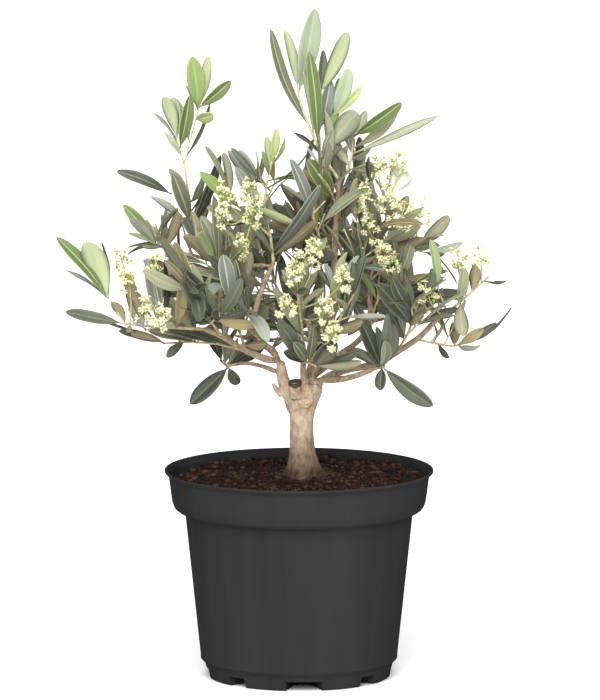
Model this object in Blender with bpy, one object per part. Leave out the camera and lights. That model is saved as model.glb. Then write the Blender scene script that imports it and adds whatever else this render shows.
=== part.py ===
"""Potted young olive tree in flower, as separate solids: a tapered nursery pot, the soil in it,
a short forked trunk, its boughs, and the leafy, flowering masses that the boughs carry.

Sizes are millimetres until a mesh is made, because Blender works in metres.
The origin is the centre of the pot's flat underside, +Z is up and -Y is the front.
"""

import math
import random
from dataclasses import dataclass

import bpy
import numpy as np
from mathutils import Quaternion, Vector
from mathutils.bvhtree import BVHTree

MM = 0.001
GAP = 0.3                    # air between neighbouring solids

# ---------------------------------------------------------------- pot and soil
RIM_RADIUS = 95.0            # a 19 cm nursery pot
POT_HEIGHT = 147.2
FOOT_RADIUS = 64.6
FLOOR_TOP = 8.3              # inner floor of the pot
POT_SIDES = 32
FEET = 8                     # notches cut in the foot, alternately wide and narrow
NOTCH_WIDTHS = (30.0, 17.0)
NOTCH_HEIGHT = 6.8
NOTCH_START = 40.0           # the notches begin this far from the middle
NOTCH_TURN = math.radians(3)
DRAIN_RADIUS = 5.0
DRAIN_AT = 52.0
SOIL_TOP = 141.0
SOIL_SIDES = 22
SOIL_LUMP = 1.6

# ---------------------------------------------------------------- trunk: height, across, depth, half width
TRUNK_FOOT = SOIL_TOP + GAP
TRUNK_WAIST = 8.3            # half widths at the waist and under the fork
TRUNK_HEAD = 11.8
TRUNK_RINGS = (
    (TRUNK_FOOT, 3.6, 0.0, 15.2),
    (145.0, 3.5, 0.0, 13.4),
    (150.0, 3.2, 0.0, 11.4),
    (157.0, 2.6, 0.0, 9.4),
    (166.0, 2.0, 0.0, 8.5),
    (182.0, 1.6, 0.0, TRUNK_WAIST),
    (189.0, 2.2, 0.0, 8.9),
    (196.0, 3.6, 0.0, 10.4),
    (203.0, 4.6, 0.0, TRUNK_HEAD),
    (208.5, 5.4, 1.0, 11.0),
)
TRUNK_DEPTH = 0.9            # the trunk is a little thinner front to back
TRUNK_SIDES = 14

# ---------------------------------------------------------------- the crown's elevation drawing
# Places in the crown are (across, up, depth): across and up as on an elevation that is drawn
# from slightly above, and depth towards the back.
VIEW_TILT = math.radians(8.6)
TWIG_SIDES = 3
BOUGH_SIDES = 5
STEM_SIDES = 4
SEGMENT = 16.0               # length of one straight piece of a limb
LEAF_THICK = 1.0
SET_CUTS = ((0.4, 0.96), (0.79, 0.78))      # the outline of a leaf with a set place
GROWN_CUTS = ()              # a rule-grown leaf is a folded diamond
DIAMOND_MIDDLE = 0.52
OUTER_SHARE = 0.26           # a leaf may meet its own mass only nearer its foot than this
STEM_TIP = 1.9               # a mass's stem is this thick at its end
TWIG = 0.8                   # a side shoot's radius at its foot, as a share of its stem's
TWIG_END = 0.7               # and at its own end, as a share of its foot's
STALK = 0.75                 # radius of a flower cluster's stalk
PAIRS = (0.0, 1.0)           # where the pairs of leaves are, from the first pair's place to the tip
FIRST_PAIR = 0.45            # the first pair of leaves on a side shoot
WIDE_SPREAD = 64             # degrees between the shoot and its first pair
NARROW_SPREAD = 30           # and its last
GOLDEN_TURN = math.radians(137.5)
SMOOTH_STEP = 3.0            # a smooth line is worked out at points this far apart
RIVAL_REACH = 25.0           # limbs that leave their parent this close together are kept apart
SHIFT = 4.0                  # a set leaf that has no room moves its tip in depth by steps of this
SHIFTS = 15
UPRIGHT = 0.5                # a rule-grown side shoot turns up by this much
SUNK = 1.6                   # a leaf's root stays this far inside the end of its shoot
FLOWER_ARM = 7.0             # the lowest flowers stand out this far from their stalk
GROWN_FLOWERS = 1            # pairs of flowers in a rule-grown cluster
CLUSTER = 20.0               # length of its stalk
FLOWER = 3.3                 # half width of a flower

# Sky that shows through the crown: across, up, half width, half height on the elevation.
SKY = (
    (-5, 222, 7, 13),
    (36, 246, 8, 9),
    (-43, 378, 15, 11),
    (-8, 366, 10, 12),
    (-52, 388, 10, 12),
    (-9, 347, 5, 12),
    (20, 341, 6, 6),
    (-69, 287, 9, 9),
    (-117, 304, 12, 6),
    (80, 285, 5, 9),
    (84, 282, 6, 9),
    (118, 274, 7, 9),
    (40, 214, 12, 3),
    (-30, 222, 10, 3),
    (-75, 215, 26, 14),
    (85, 212, 22, 10),
    (96, 352, 12, 16),
)
# Where the leaves part before a limb: across, up, half width, half height, and the limb's depth.
PARTINGS = (
    (-25, 277, 8, 27, 8),
    (-16, 301, 14, 14, 5),
    (1, 325, 13, 19, -2),
    (-24, 335, 6, 20, 5),
    (25, 324, 6, 26, 3),
    (14, 351, 14, 11, -8),
    (50, 264, 5, 17, 14),
    (2, 238, 6, 24, -36),
)
# Where rule-grown leaves may reach: lobes of the crown on the elevation.
LOBES = (
    (-8, 283, 92, 62),
    (-95, 284, 38, 45),
    (94, 275, 34, 34),
    (24, 350, 34, 45),
    (-74, 372, 24, 40),
    (-44, 334, 42, 38),
)


@dataclass(frozen=True)
class Limb:
    """A tapering limb from a place on another, its own solid unless `node` names one it is fused to.

    `thick` is its diameter at its foot and at its tip.
    """

    name: str
    on: str
    at: float
    thick: tuple
    route: tuple
    node: str = ""


@dataclass(frozen=True)
class Leaf:
    """A leaf with a set place: its foot along the shoot, its tip, its width and the turn of its face."""

    at: float
    tip: tuple
    width: float
    face: float = 30.0
    bow: float = 0.06


@dataclass(frozen=True)
class Bloom:
    """A flower cluster with a set place: its foot along the shoot, its tip, its pairs of flowers."""

    at: float
    tip: tuple
    pairs: int = 2


@dataclass(frozen=True)
class Shoot:
    """A side shoot of a mass with a set place: where it leaves the stem, its tip and what it bears."""

    at: float
    tip: tuple
    leaves: tuple = ()
    blooms: tuple = ()


@dataclass(frozen=True)
class Mass:
    """One mass of foliage: a stem grown on from a limb, what is set on it and what the rule grows.

    `grown` is the number of rule-grown side shoots, `twig` and `leaf` their and their leaves' usual
    lengths, and `blooms` how many of them carry flowers.
    """

    name: str
    on: str
    at: float
    seed: int
    stem: tuple
    thick: float = 2.2
    grown: int = 5
    twig: float = 26.0
    leaf: float = 42.0
    blooms: int = 0
    leaves: tuple = ()
    sprays: tuple = ()
    shoots: tuple = ()


LIMBS = (
    Limb("left_arm", on="trunk", at=0.62, thick=(15.0, 6.0), node="trunk",
         route=((-5, 196, -1), (-11, 208, -2), (-13, 221, -2))),
    Limb("right_knee", on="trunk", at=0.8, thick=(14.0, 9.0), node="trunk",
         route=((9, 201, 0), (13, 208, 0))),
    Limb("low_left_bough", on="left_arm", at=1.0, thick=(5.2, 3.6),
         route=((-26, 224, -8), (-41, 231, -14), (-54, 239, -20), (-66, 244, -25))),
    Limb("back_left_bough", on="left_arm", at=0.8, thick=(3.6, 2.4),
         route=((-26, 218, 12), (-38, 220, 22), (-46, 219, 28))),
    Limb("left_leader", on="left_arm", at=1.0, thick=(5.2, 3.4),
         route=((-19, 229, 6), (-26, 235, 9), (-30, 249, 12), (-30, 260, 13), (-25, 275, 14),
                (-18, 291, 14))),
    Limb("crest_bough", on="left_leader", at=0.97, thick=(3.2, 2.6),
         route=((-30, 289, 20), (-41, 288, 26), (-63, 293, 33), (-77, 297, 35))),
    Limb("centre_bough", on="trunk", at=0.92, thick=(5.0, 3.4),
         route=((3, 212, -8), (3, 222, -13), (3, 234, -19))),
    Limb("low_right_bough", on="right_knee", at=1.0, thick=(5.0, 3.6),
         route=((30, 209, -9), (42, 212, -12), (52, 216, -15))),
    Limb("right_bough", on="right_knee", at=1.0, thick=(5.4, 3.8),
         route=((32, 215, 5), (55, 220, 3), (69, 228, -1), (84, 238, -6), (96, 250, -9))),
    Limb("inner_right_bough", on="trunk", at=0.93, thick=(5.2, 3.2),
         route=((9, 210, 9), (18, 217, 13), (27, 225, 17), (41, 235, 21), (49, 247, 23), (50, 265, 23),
                (50, 279, 21))),
    Limb("right_leader", on="trunk", at=0.93, thick=(6.0, 3.2),
         route=((9, 210, 0), (15, 228, 3), (22, 251, 5), (25, 291, 8), (27, 331, 8), (28, 349, 7))),
    Limb("back_bough", on="trunk", at=0.93, thick=(5.6, 3.4),
         route=((6, 210, 14), (10, 226, 34), (8, 244, 56), (2, 262, 74))),
)

MASSES = (
    Mass("top_shoot", on="right_leader", at=1.0, seed=3, thick=2.8, grown=0,
         stem=((16, 366, 3), (8, 384, 0), (1, 402, -3), (-1, 413, -4)),
         leaves=(
             Leaf(0.6, (-20, 454, -8), 8.5, 25, 0.0),
             Leaf(0.98, (-10, 453, -2), 8, 160),
             Leaf(0.95, (11, 468, -6), 15, 12),
             Leaf(0.4, (7, 438, -16), 10, 20),
             Leaf(0.5, (3, 424, -12), 5.5, 155),
             Leaf(0.15, (18, 397, -6), 8, 155),
             Leaf(0.3, (-4, 382, 8), 6, 55)),
         shoots=(
             Shoot(0.34, (14, 410, 4), leaves=(
                     Leaf(0.9, (17, 440, 12), 6.5, 25),
                     Leaf(1.0, (34, 452, -4), 11.5, 160),
                     Leaf(0.35, (22, 419, 8), 10, 20))),
             Shoot(0.26, (24, 395, 8), leaves=(
                     Leaf(0.95, (35, 427, 6), 13, 25),
                     Leaf(1.0, (44, 414, 12), 6.5, 20),
                     Leaf(0.2, (41, 396, -8), 16, 172),
                     Leaf(0.5, (28, 421, 14), 9),
                     Leaf(0.6, (22, 404, 24), 11, 40))))),
    Mass("top_right", on="right_leader", at=1.0, seed=5, thick=2.4, grown=0,
         stem=((34, 354, 9), (37, 366, 11), (38, 381, 12)),
         leaves=(
             Leaf(0.98, (72, 403, 2), 11, 15),
             Leaf(0.7, (70, 400, 16), 10, 40),
             Leaf(0.6, (98, 394, 14), 6.5, 150, 0.0),
             Leaf(0.9, (47, 398, 18), 8, 160),
             Leaf(0.35, (24, 374, 16), 8, 170),
             Leaf(0.6, (32, 383, 22), 9, 40),
             Leaf(0.25, (47, 340, 4), 6.5, 10),
             Leaf(0.3, (62, 360, 6), 8),
             Leaf(0.5, (52, 376, 36), 10, 60))),
    Mass("upper_middle", on="right_leader", at=0.86, seed=7, grown=1, twig=18, leaf=32,
         stem=((24, 337, -2), (20, 345, -12), (14, 352, -22)),
         leaves=(
             Leaf(0.25, (6, 363, -16), 13, 20),
             Leaf(0.45, (2, 355, -2), 9, 165),
             Leaf(0.9, (20, 375, -34), 8, 50))),
    Mass("centre_high", on="right_leader", at=0.66, seed=11, grown=3, twig=22, leaf=44,
         stem=((18, 300, -4), (12, 314, -10), (8, 330, -16)),
         leaves=(
             Leaf(0.8, (-6, 363, -22), 9, 25),
             Leaf(0.1, (16, 291, -30), 10))),
    Mass("centre_right", on="right_leader", at=0.52, seed=13, grown=4, leaf=44,
         stem=((32, 279, -6), (40, 294, -12), (44, 312, -18))),
    Mass("centre_back", on="right_leader", at=0.6, seed=17, grown=4, twig=28, leaf=48,
         stem=((24, 294, 22), (20, 306, 36), (16, 322, 48))),
    Mass("left_top", on="left_leader", at=1.0, seed=19, thick=2.6, grown=1, twig=24, leaf=38,
         stem=((-20, 309, 13), (-25, 328, 12), (-22, 350, 10), (-19, 362, 8)),
         leaves=(
             Leaf(0.98, (-16, 385, 6), 7, 25),
             Leaf(0.9, (-23, 380, 14), 6, 160),
             Leaf(0.95, (-10, 378, 2), 5, 60),
             Leaf(0.86, (-26, 369, -4), 5),
             Leaf(0.8, (4, 338, -8), 6, 35, -0.45),
             Leaf(0.72, (7, 369, 16), 4, 60),
             Leaf(0.3, (-45, 358, -8), 10, 25),
             Leaf(0.1, (15, 345, -30), 10, 24),
             Leaf(0.06, (12, 319, -24), 9, 165),
             Leaf(0.04, (27, 315, -22), 5, 40),
             Leaf(0.02, (-34, 288, -12), 7, 25),
             Leaf(0.08, (-39, 323, -18), 5)),
         shoots=(
             Shoot(0.48, (-32, 346, 16), leaves=(
                     Leaf(0.5, (-50, 370, 18), 10, 150),
                     Leaf(0.7, (-42, 370, 6), 9),
                     Leaf(1.0, (-34, 362, 24), 6, 60),
                     Leaf(1.0, (-25, 367, 20), 5, 40))),
             Shoot(0.25, (-50, 337, 4), leaves=(
                     Leaf(0.7, (-70, 354, -10), 9.5, 20),
                     Leaf(1.0, (-66, 373, 8), 6.5, 60),
                     Leaf(0.95, (-53, 368, 0), 7, 150),
                     Leaf(0.3, (-65, 330, 10), 10, 25),
                     Leaf(0.4, (-56, 318, 16), 9, 40))),
             Shoot(0.12, (-37, 325, -16), blooms=(
                     Bloom(0.7, (-54, 346, -26), 2),
                     Bloom(1.0, (-37, 347, -30), 2),
                     Bloom(0.95, (-55, 329, -38), 2),
                     Bloom(0.9, (-30, 333, -42), 2),
                     Bloom(0.8, (-40, 308, -48), 2))))),
    Mass("crest", on="crest_bough", at=1.0, seed=23, thick=2.6, grown=0,
         stem=((-77, 316, 37), (-77, 330, 38), (-79, 347, 37), (-81, 361, 36)),
         leaves=(
             Leaf(0.35, (-89, 354, 28), 11, 20),
             Leaf(0.3, (-105, 338, 40), 6, 150),
             Leaf(0.45, (-57, 366, 46), 7, 55),
             Leaf(0.25, (-55, 367, 24), 8, 25),
             Leaf(0.1, (-63, 344, 30), 8, 160),
             Leaf(0.3, (-64, 343, 34), 8, 160),
             Leaf(0.55, (-68, 352, 60), 9, 40),
             Leaf(0.5, (-92, 358, 62), 9, 50)),
         shoots=(
             Shoot(0.97, (-87, 381, 34), leaves=(
                     Leaf(0.98, (-95, 408, 28), 10.5, 160),
                     Leaf(0.7, (-103, 397, 44), 4, 60),
                     Leaf(0.3, (-95, 383, 30), 5),
                     Leaf(0.85, (-89, 408, 40), 9, 15),
                     Leaf(0.55, (-77, 409, 30), 10, 12))),
             Shoot(1.0, (-70, 402, 35), leaves=(
                     Leaf(0.93, (-75, 436, 28), 13, 12),
                     Leaf(1.0, (-64, 437, 42), 8, 160),
                     Leaf(1.0, (-48, 419, 34), 9, 15),
                     Leaf(0.35, (-89, 408, 46), 8, 155),
                     Leaf(0.9, (-80, 416, 44), 5, 50),
                     Leaf(0.75, (-60, 395, 24), 9, 15),
                     Leaf(0.1, (-63, 404, 50), 4.5, 40))))),
    Mass("wing", on="crest_bough", at=1.0, seed=29, grown=1, twig=20, leaf=34,
         stem=((-86, 298, 36), (-95, 301, 36), (-102, 304, 36)),
         leaves=(
             Leaf(0.98, (-124, 332, 32), 9, 20),
             Leaf(0.95, (-119, 322, 24), 8.5, 155),
             Leaf(0.9, (-121, 312, 28), 4, 50),
             Leaf(0.8, (-97, 325, 26), 7, 35),
             Leaf(0.7, (-85, 327, 30), 9, 160),
             Leaf(0.4, (-92, 282, 26), 9, 150)),
         shoots=(
             Shoot(0.75, (-90, 341, 54), leaves=(
                     Leaf(1.0, (-129, 356, 50), 8.5, 30, 0.1),)),)),
    Mass("left_inner", on="left_leader", at=0.48, seed=31, grown=3, leaf=43,
         stem=((-38, 266, 8), (-50, 276, 4), (-58, 290, 0)),
         leaves=(
             Leaf(0.9, (-81, 310, -10), 9.5, 160),
             Leaf(0.6, (-64, 296, -14), 7),
             Leaf(0.95, (-60, 338, -6), 9),
             Leaf(0.3, (-44, 275, -30), 7.5))),
    Mass("left_tip", on="low_left_bough", at=1.0, seed=37, thick=2.8, grown=1, twig=20, leaf=34,
         stem=((-88, 245, -34), (-106, 246, -40), (-124, 248, -46)),
         leaves=(
             Leaf(0.99, (-163, 256, -50), 9, 30, -0.03),
             Leaf(0.95, (-130, 263, -54), 8, 150),
             Leaf(0.85, (-120, 283, -52), 10, 158),
             Leaf(0.75, (-115, 270, -60), 9, 160),
             Leaf(0.55, (-106, 294, -54), 11, 20),
             Leaf(0.5, (-94, 291, -48), 7, 40),
             Leaf(0.35, (-81, 279, -58), 9, 25),
             Leaf(0.9, (-117, 242, -56), 6, 150)),
         sprays=(
             Bloom(0.66, (-105, 265, -74), 2),
             Bloom(0.5, (-96, 260, -78), 2),
             Bloom(0.45, (-99, 294, -64), 1),
             Bloom(0.8, (-125, 297, -44), 2),
             Bloom(0.9, (-120, 281, -48), 1)),
         shoots=(
             Shoot(0.95, (-134, 267, -50), leaves=(
                     Leaf(0.95, (-169, 308, -54), 10, 40),
                     Leaf(1.0, (-148, 305, -60), 17, 165),
                     Leaf(0.9, (-163, 285, -44), 4, 55),
                     Leaf(0.98, (-138, 305, -40), 4.5, 50))),)),
    Mass("left_low", on="low_left_bough", at=0.42, seed=41, grown=1, twig=22, leaf=34,
         stem=((-58, 234, -8), (-78, 235, -2), (-96, 234, 2)),
         leaves=(
             Leaf(1.0, (-127, 243, 4), 7),
             Leaf(0.98, (-118, 241, -10), 6.5, 160),
             Leaf(1.0, (-137, 249, -2), 3.5, 50, 0.0),
             Leaf(0.75, (-93, 224, -8), 7),
             Leaf(0.35, (-91, 243, -10), 8, 40),
             Leaf(0.6, (-106, 243, -4), 9, 40),
             Leaf(0.15, (-75, 244, 0), 8),
             Leaf(0.6, (-104, 262, 10), 9, 40))),
    Mass("left_droop", on="back_left_bough", at=1.0, seed=43, thick=2.4, grown=1, twig=24, leaf=34,
         stem=((-50, 218, 34), (-50, 217, 42), (-56, 222, 52)),
         leaves=(
             Leaf(0.45, (-77, 191, 34), 12.5, 15, -0.02),
             Leaf(0.55, (-43, 205, 44), 8.5, 15),
             Leaf(0.6, (-32, 241, 56), 10, 35),
             Leaf(0.3, (-23, 234, 44), 8),
             Leaf(0.75, (-51, 241, 50), 9),
             Leaf(0.9, (-65, 242, 60), 9))),
    Mass("left_back", on="left_leader", at=0.42, seed=47, thick=2.4, twig=30, leaf=46,
         stem=((-42, 252, 30), (-52, 260, 48), (-62, 270, 66))),
    Mass("left_front", on="low_left_bough", at=0.78, seed=53, grown=3, twig=22, leaf=42,
         stem=((-62, 250, -38), (-68, 262, -48), (-74, 276, -56)),
         leaves=(
             Leaf(0.2, (-81, 286, -62), 13, 22),
             Leaf(0.5, (-75, 290, -44), 8))),
    Mass("front_left", on="low_left_bough", at=0.45, seed=59, grown=2, twig=20, leaf=40,
         stem=((-42, 244, -32), (-36, 252, -44), (-34, 264, -54)),
         leaves=(
             Leaf(0.2, (-22, 260, -50), 10, 155),
             Leaf(0.3, (-54, 265, -56), 9, 150),
             Leaf(0.1, (-23, 234, -44), 8, 150),
             Leaf(0.5, (-44, 277, -64), 8)),
         shoots=(
             Shoot(0.55, (-49, 264, -58), leaves=(
                     Leaf(1.0, (-53, 296, -62), 12, 22),
                     Leaf(0.9, (-37, 283, -54), 7, 40))),)),
    Mass("fork_leaves", on="centre_bough", at=0.6, seed=137, thick=2.6, grown=0,
         stem=((5, 221, -22), (12, 218, -28)),
         leaves=(
             Leaf(0.8, (26, 236, -30), 13, 20),
             Leaf(0.9, (25, 232, -42), 12, 150),
             Leaf(0.97, (42, 229, -32), 9),
             Leaf(0.75, (44, 221, -50), 8, 140),
             Leaf(0.6, (10, 246, -38), 8, 25),
             Leaf(0.45, (-15, 250, -48), 12, 15),
             Leaf(0.2, (-6, 233, -34), 6, 25),
             Leaf(0.3, (-11, 228, -20), 9),
             Leaf(0.55, (-4, 235, -44), 8))),
    Mass("front_middle", on="centre_bough", at=1.0, seed=61, thick=2.4, grown=1, twig=16, leaf=32,
         stem=((2, 246, -32), (0, 262, -46), (-2, 280, -60)),
         leaves=(
             Leaf(0.1, (-18, 273, -58), 9, 25),
             Leaf(0.12, (-14, 256, -50), 8, 40),
             Leaf(0.3, (13, 278, -40), 9)),
         sprays=(
             Bloom(0.9, (-1, 297, -84), 3),
             Bloom(0.7, (10, 305, -76), 2),
             Bloom(0.55, (31, 287, -80), 2),
             Bloom(0.5, (-9, 266, -82), 1),
             Bloom(0.4, (19, 264, -80), 1),
             Bloom(0.2, (41, 258, -76), 2),
             Bloom(0.1, (12, 233, -66), 1))),
    Mass("front_right", on="centre_bough", at=0.7, seed=67, grown=2, twig=20, leaf=40,
         stem=((16, 236, -34), (28, 250, -50), (38, 268, -60)),
         leaves=(
             Leaf(0.15, (27, 239, -26), 9),
             Leaf(0.3, (37, 261, -44), 11),
             Leaf(0.2, (33, 253, -20), 9, 35),
             Leaf(0.85, (37, 291, -64), 8),
             Leaf(0.5, (44, 249, -62), 9, 150)),
         sprays=(
             Bloom(0.35, (25, 248, -78), 2),)),
    Mass("right_node", on="low_right_bough", at=1.0, seed=71, thick=2.6, grown=0,
         stem=((56, 217, -19), (60, 217, -26)),
         leaves=(
             Leaf(0.6, (44, 248, -22), 12, 20),
             Leaf(0.95, (54, 246, -30), 6.5),
             Leaf(1.0, (66, 248, -24), 12, 150),
             Leaf(0.75, (57, 201, -30), 9, 20),
             Leaf(0.9, (94, 190, -26), 12.5, 20),
             Leaf(0.5, (34, 229, -34), 9, 150),
             Leaf(0.3, (39, 262, -12), 10, 25),
             Leaf(0.4, (61, 255, -42), 10),
             Leaf(0.6, (60, 236, -50), 9, 40))),
    Mass("right_low", on="right_bough", at=0.8, seed=73, thick=2.0, grown=1, twig=20, leaf=32,
         stem=((96, 234, -2), (108, 232, 4), (116, 234, 8)),
         leaves=(
             Leaf(0.45, (106, 224, -8), 6),
             Leaf(0.85, (130, 245, 2), 8, 20),
             Leaf(0.95, (139, 249, 4), 8, 25),
             Leaf(1.0, (150, 260, 10), 4, 60, 0.1),
             Leaf(0.8, (108, 249, 14), 9, 150),
             Leaf(0.85, (128, 232, 30), 8, 40))),
    Mass("right_tip", on="right_bough", at=1.0, seed=79, thick=2.6, grown=0,
         stem=((106, 257, -10), (119, 268, -11), (133, 281, -12)),
         leaves=(
             Leaf(0.66, (124, 289, -16), 9, 160),
             Leaf(0.4, (115, 287, -20), 9, 25),
             Leaf(0.9, (146, 278, -14), 4, 50),
             Leaf(0.45, (115, 239, -22), 11, 160),
             Leaf(0.55, (112, 292, 10), 8, 40)),
         sprays=(
             Bloom(0.5, (111, 300, -10), 1),
             Bloom(0.85, (126, 300, -8), 1),
             Bloom(0.15, (88, 276, -40), 2),
             Bloom(0.1, (97, 265, -36), 1)),
         shoots=(
             Shoot(0.2, (97, 274, -12), leaves=(
                     Leaf(0.95, (92, 307, -12), 8, 25),
                     Leaf(0.8, (100, 270, -24), 6, 150),
                     Leaf(0.9, (95, 298, -2), 6, 150))),)),
    Mass("right_front", on="right_bough", at=0.62, seed=83, grown=2, twig=20, leaf=42,
         stem=((76, 240, -20), (80, 252, -32), (84, 264, -40)),
         leaves=(
             Leaf(0.6, (54, 276, -50), 14, 25),
             Leaf(0.8, (88, 260, -50), 8, 150),
             Leaf(0.3, (63, 256, -36), 12))),
    Mass("right_inner", on="inner_right_bough", at=0.7, seed=89, thick=2.0, grown=3, twig=24, leaf=43,
         stem=((58, 270, 16), (66, 274, 8), (74, 276, 0)),
         leaves=(
             Leaf(0.25, (84, 254, -4), 14, 20),
             Leaf(0.5, (96, 262, 16), 10, 40))),
    Mass("bloom_top", on="inner_right_bough", at=1.0, seed=97, thick=2.4, grown=2, twig=20, leaf=34,
         stem=((54, 294, 17), (59, 310, 12), (62, 328, 8), (64, 342, 6)),
         leaves=(
             Leaf(0.95, (74, 357, 0), 17, 172, 0.25),
             Leaf(0.6, (88, 330, 4), 6, 20),
             Leaf(0.55, (84, 327, -6), 6),
             Leaf(0.5, (44, 340, 4), 8),
             Leaf(0.4, (86, 317, 0), 8, 150),
             Leaf(0.3, (89, 308, 6), 8, 155),
             Leaf(0.7, (65, 334, 6), 9),
             Leaf(0.6, (77, 338, 14), 9, 150)),
         sprays=(
             Bloom(0.98, (56, 365, -4), 2),
             Bloom(0.95, (68, 366, 4), 1),
             Bloom(0.8, (47, 342, -24), 2),
             Bloom(0.75, (61, 345, -26), 2),
             Bloom(0.6, (74, 331, -22), 2),
             Bloom(0.5, (47, 323, -34), 2),
             Bloom(0.3, (57, 304, -44), 2),
             Bloom(0.25, (66, 296, -42), 2))),
    Mass("right_high", on="inner_right_bough", at=1.0, seed=101, grown=1, twig=20, leaf=34,
         stem=((62, 288, 25), (74, 296, 26), (86, 304, 24)),
         leaves=(
             Leaf(0.98, (106, 324, 22), 11, 155),
             Leaf(0.6, (72, 273, 30), 8, 150),
             Leaf(0.8, (80, 270, 34), 8, 150)),
         sprays=(
             Bloom(0.9, (88, 335, 14), 2),
             Bloom(0.7, (80, 303, -6), 2),
             Bloom(0.8, (80, 312, 36), 2))),
    Mass("right_back", on="inner_right_bough", at=0.55, seed=103, thick=2.4, twig=30, leaf=46,
         stem=((58, 256, 42), (66, 264, 58), (72, 272, 74))),
    Mass("back_left", on="back_bough", at=1.0, seed=107, thick=2.4, grown=4, twig=28, leaf=48, blooms=1,
         stem=((-14, 268, 82), (-28, 276, 88), (-40, 284, 94))),
    Mass("back_middle", on="back_bough", at=1.0, seed=109, thick=2.4, grown=4, twig=28, leaf=48, blooms=1,
         stem=((2, 276, 82), (2, 290, 90), (0, 304, 96))),
    Mass("back_right", on="back_bough", at=0.86, seed=113, thick=2.4, grown=6, twig=28, leaf=46,
         stem=((20, 262, 80), (32, 270, 88), (44, 280, 94))),
    Mass("back_low", on="back_bough", at=0.6, seed=127, thick=2.0, grown=3,
         stem=((-2, 240, 66), (-8, 244, 80), (-12, 250, 92))),
    Mass("back_high", on="right_leader", at=0.8, seed=131, thick=2.0, grown=3, twig=22, leaf=40,
         stem=((30, 332, 30), (30, 340, 42), (28, 348, 52))),
)


# ---------------------------------------------------------------- places and curves
def spot(across, up, depth):
    """A place in space, from its place on the elevation and its depth."""
    return Vector((across, depth, (up - depth * math.sin(VIEW_TILT)) / math.cos(VIEW_TILT)))


def on_elevation(point):
    """(across, up) of a place in space on the elevation."""
    return point.x, point.z * math.cos(VIEW_TILT) + point.y * math.sin(VIEW_TILT)


class Path:
    """A line through its points, smooth or straight from point to point, read by share of its length."""

    def __init__(self, points, smooth):
        self.smooth = smooth
        self.points = [points[0].copy()]
        ends = [points[0] * 2 - points[1]] + list(points) + [points[-1] * 2 - points[-2]]
        for before, start, end, after in zip(ends, ends[1:], ends[2:], ends[3:]):
            count = max(1, round((end - start).length / SMOOTH_STEP)) if smooth else 1
            for i in range(1, count + 1):
                self.points.append(self.between(before, start, end, after, i / count))
        self.lengths = [0.0]
        for a, b in zip(self.points, self.points[1:]):
            self.lengths.append(self.lengths[-1] + (b - a).length)
        self.length = self.lengths[-1]

    @staticmethod
    def between(before, start, end, after, t):
        pull_in = (end - before) * 0.5
        pull_out = (after - start) * 0.5
        return (start * (2 * t**3 - 3 * t**2 + 1) + pull_in * (t**3 - 2 * t**2 + t)
                + end * (3 * t**2 - 2 * t**3) + pull_out * (t**3 - t**2))

    def at(self, share):
        """The place at this share of the length."""
        wanted = min(max(share, 0.0), 1.0) * self.length
        for i, here in enumerate(self.lengths[1:]):
            if here >= wanted - 1e-9:
                span = here - self.lengths[i]
                return self.points[i].lerp(self.points[i + 1], (wanted - self.lengths[i]) / span)
        return self.points[-1].copy()

    def along(self, share):
        """The direction of growth at this share of the length."""
        return (self.at(share + 0.02) - self.at(share - 0.02)).normalized()

    def sunk(self, share):
        """The place at this share, held back from the very end so that a foot there is well inside."""
        return self.at(min(share, 1.0 - SUNK / self.length))

    def rings(self, first, last):
        """Shares for the rings of a tube: even ones on a smooth line, else one at each bend."""
        if self.smooth:
            count = max(1, round(self.length * (last - first) / SEGMENT))
            return [first + (last - first) * i / count for i in range(count + 1)]
        bends = [here / self.length for here in self.lengths[1:-1]]
        margin = 1.0 / self.length
        return [first] + [share for share in bends if first + margin < share < last - margin] + [last]


def across_of(direction, reference=Vector((0, 1, 0))):
    """Two directions square to this one: the first lies in the plane of the elevation."""
    side = direction.cross(reference)
    if side.length < 0.2:
        side = direction.cross(Vector((1, 0, 0)))
    side.normalize()
    return side, side.cross(direction).normalized()


# ---------------------------------------------------------------- closed shapes: (points, faces)
def tube(centres, radii, sides, aims=None):
    """A closed tube with flat ends along the centres. `aims` are the directions its rings face."""
    points, faces = [], []
    side = None
    for i, centre in enumerate(centres):
        ahead = aims[i] if aims else (centres[-1] - centres[0]).normalized()
        side = across_of(ahead)[0] if side is None else (side - ahead * side.dot(ahead)).normalized()
        other = ahead.cross(side)
        for k in range(sides):
            turn = math.tau * k / sides
            points.append(centre + (side * math.cos(turn) + other * math.sin(turn)) * radii[i])
    for i in range(len(centres) - 1):
        for k in range(sides):
            a, b = i * sides + k, i * sides + (k + 1) % sides
            faces.append((a, b, b + sides, a + sides))
    faces.append(tuple(reversed(range(sides))))
    faces.append(tuple(range(len(points) - sides, len(points))))
    return points, faces


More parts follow.
